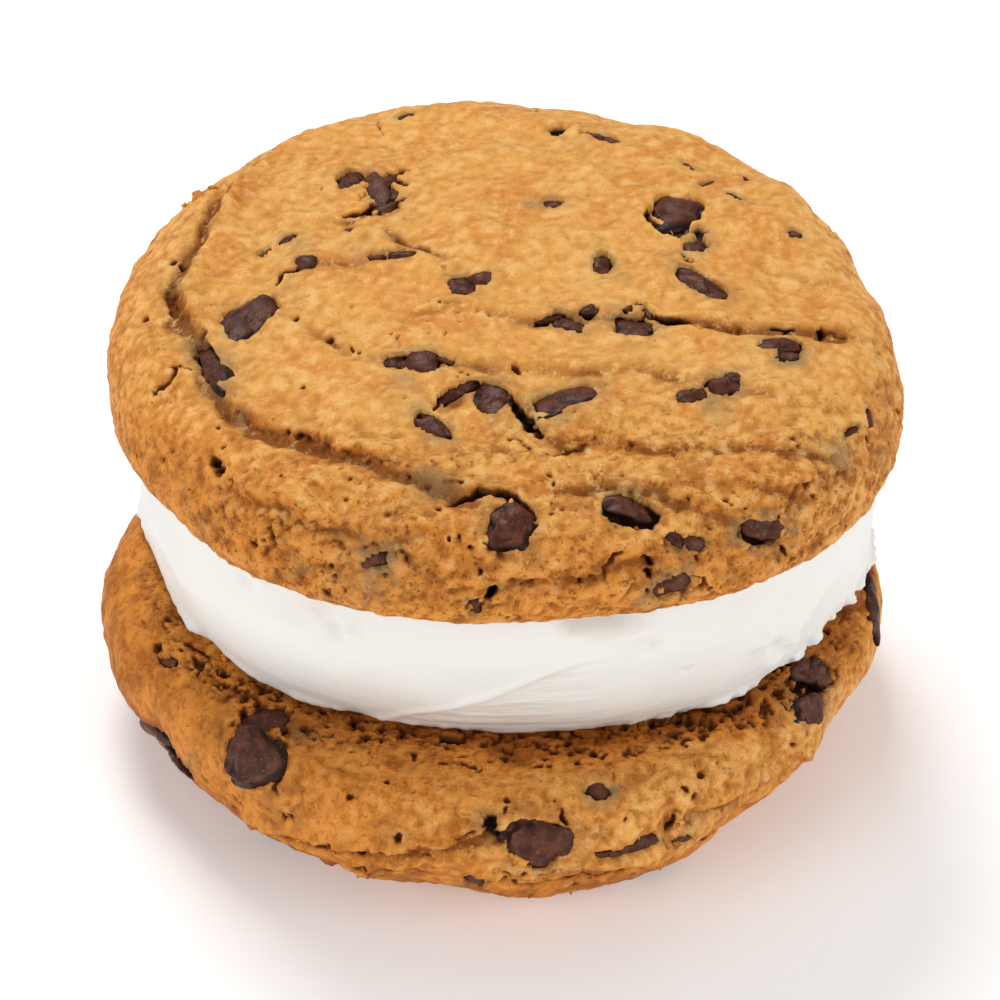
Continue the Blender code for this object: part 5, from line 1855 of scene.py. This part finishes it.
# %% [markdown]
# ### Cream
# White, a touch warm, with light passing a little way under its surface. Its shine is soft, and faint
# streaks follow the knife. The warm grey tint deepens under the crease at the front, at the foot and round
# the bumps, as painted shade.

# %% Cream finish
CREAM_WHITE = colour_of(231, 230, 225)
CREAM_WARM_AND_SHADE = colour_of(229, 219, 210)


def cream_material():
    material, tree, shader, place = new_material("cream")
    stretched = node(tree, "ShaderNodeMapping", {"Vector": place, "Scale": (1.0, 1.0, 5.0)}).outputs[0]
    streaks = specks(tree, stretched, 6 * MM, 3.0, 0.55)
    cloud = specks(tree, place, 7 * MM, 2.0, 0.5)
    fine = specks(tree, place, 0.9 * MM, 2.0, 0.5)
    streaky_and_shaded = stored(tree, "streaky_and_shaded")
    # Warm clouds at random, deepened as painted shade under the crease, at the foot and round the bumps.
    warmth_and_shade = added(tree, times(tree, rising(tree, cloud, 0.40, 0.70), 0.35), times(tree, streaky_and_shaded, 0.45))
    colour = mixed(tree, times(tree, warmth_and_shade, rising(tree, streaks, 0.35, 0.65)), CREAM_WHITE, CREAM_WARM_AND_SHADE)
    strokes = times(tree, streaks, times(tree, streaky_and_shaded, 2.0))
    height = added(tree, strokes, times(tree, cloud, 0.5), times(tree, fine, 0.12))
    link_looks(tree, shader, colour, height, 0.35, 0.4 * MM)
    shader.inputs["Roughness"].default_value = 0.45
    shader.inputs["Specular IOR Level"].default_value = 0.35
    shader.inputs["Subsurface Weight"].default_value = 0.25
    shader.inputs["Subsurface Radius"].default_value = (1.0, 0.95, 0.9)
    shader.inputs["Subsurface Scale"].default_value = 1.1 * MM
    return material


cream_finish = cream_material()
print("the finish of the cream has", len(cream_finish.node_tree.nodes), "nodes")

# %% [markdown]
# Crumbs are bits of crust, so they share its finish.

# %% Give each piece its finish
for finish, pieces in (
    (crust_finish, (top_crust, bottom_crust, top_crumbs, bottom_crumbs)),
    (chocolate_finish, (top_chips, bottom_chips)),
    (cream_finish, (cream_filling,)),
):
    for piece in pieces:
        piece.data.materials.clear()
        piece.data.materials.append(finish)
print("materials:", [material.name for material in bpy.data.materials])

# %% [markdown]
# ## Studio
# A plain pale floor and soft light from three round lamps: one high at the back that gives the chips
# their glints, and two low in front, left and right, for the rims and the cream. The surround is bright
# and even, and the floor glows a little, so that the shadow stays faint.

# %% Floor, lamps and surround
FLOOR_SIZE = 6.0
FLOOR_COLOUR = colour_of(250, 250, 250)
FLOOR_GLOW = 0.18
SURROUND_STRENGTH = 0.37
WHITE = (1.0, 1.0, 1.0, 1.0)
LAMPS = {
    "key": ((-0.18, 0.42, 0.80), 0.40, 4.4),
    "fill": ((0.88, -0.52, 0.42), 0.80, 4.7),
    "front": ((-0.76, -0.66, 0.38), 0.70, 4.3),
}


def lamp(name, place, size, power):
    """A round lamp of a diameter in metres and a power in watts that faces the pie."""
    bpy.ops.object.light_add(type="AREA", location=place)
    light = bpy.context.object
    light.name = name
    light.data.shape = "DISK"
    light.data.size = size
    light.data.energy = power
    light.rotation_euler = (CAMERA_AIM - Vector(place)).to_track_quat("-Z", "Y").to_euler()


bpy.ops.object.select_all(action="DESELECT")
bpy.ops.mesh.primitive_plane_add(size=FLOOR_SIZE, location=(0, 0, 0))
floor = bpy.context.object
floor.name = "floor"
floor_finish, _, floor_shader, _ = new_material("floor")
floor_shader.inputs["Base Color"].default_value = FLOOR_COLOUR
floor_shader.inputs["Roughness"].default_value = 0.7
floor_shader.inputs["Emission Color"].default_value = WHITE
floor_shader.inputs["Emission Strength"].default_value = FLOOR_GLOW
floor.data.materials.append(floor_finish)

for name, (place, size, power) in LAMPS.items():
    lamp(name, place, size, power)
world = bpy.data.worlds.new("surround")
bpy.context.scene.world = world
world.use_nodes = True
background = world.node_tree.nodes["Background"]
background.inputs["Color"].default_value = WHITE
background.inputs["Strength"].default_value = SURROUND_STRENGTH
bpy.context.scene.view_settings.view_transform = "Standard"

# %% [markdown]
# ## Pieces on the body
# Every piece rides on the pie's one body and stands for the solid that it dresses. The two boxes, of the
# solids and of the finished pieces, are printed so that they can be compared.

# %% Ride, replace and finish
for piece, cad_node, slot in (
    (top_crust, "top_cookie", "cookie_crust"),
    (bottom_crust, "bottom_cookie", "cookie_crust"),
    (top_chips, "top_cookie", "chocolate"),
    (bottom_chips, "bottom_cookie", "chocolate"),
    (top_crumbs, "top_cookie", "cookie_crust"),
    (bottom_crumbs, "bottom_cookie", "cookie_crust"),
    (cream_filling, "cream", "cream"),
):
    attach(piece, "root")
    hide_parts(cad_node)
floor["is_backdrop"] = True

visual_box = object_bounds()
boxes = {"cad": [list(corner) for corner in cad_box], "visual": [list(corner) for corner in visual_box]}
for kind, corners in boxes.items():
    print(kind, "box in mm:", [[round(value / MM, 2) for value in corner] for corner in corners])
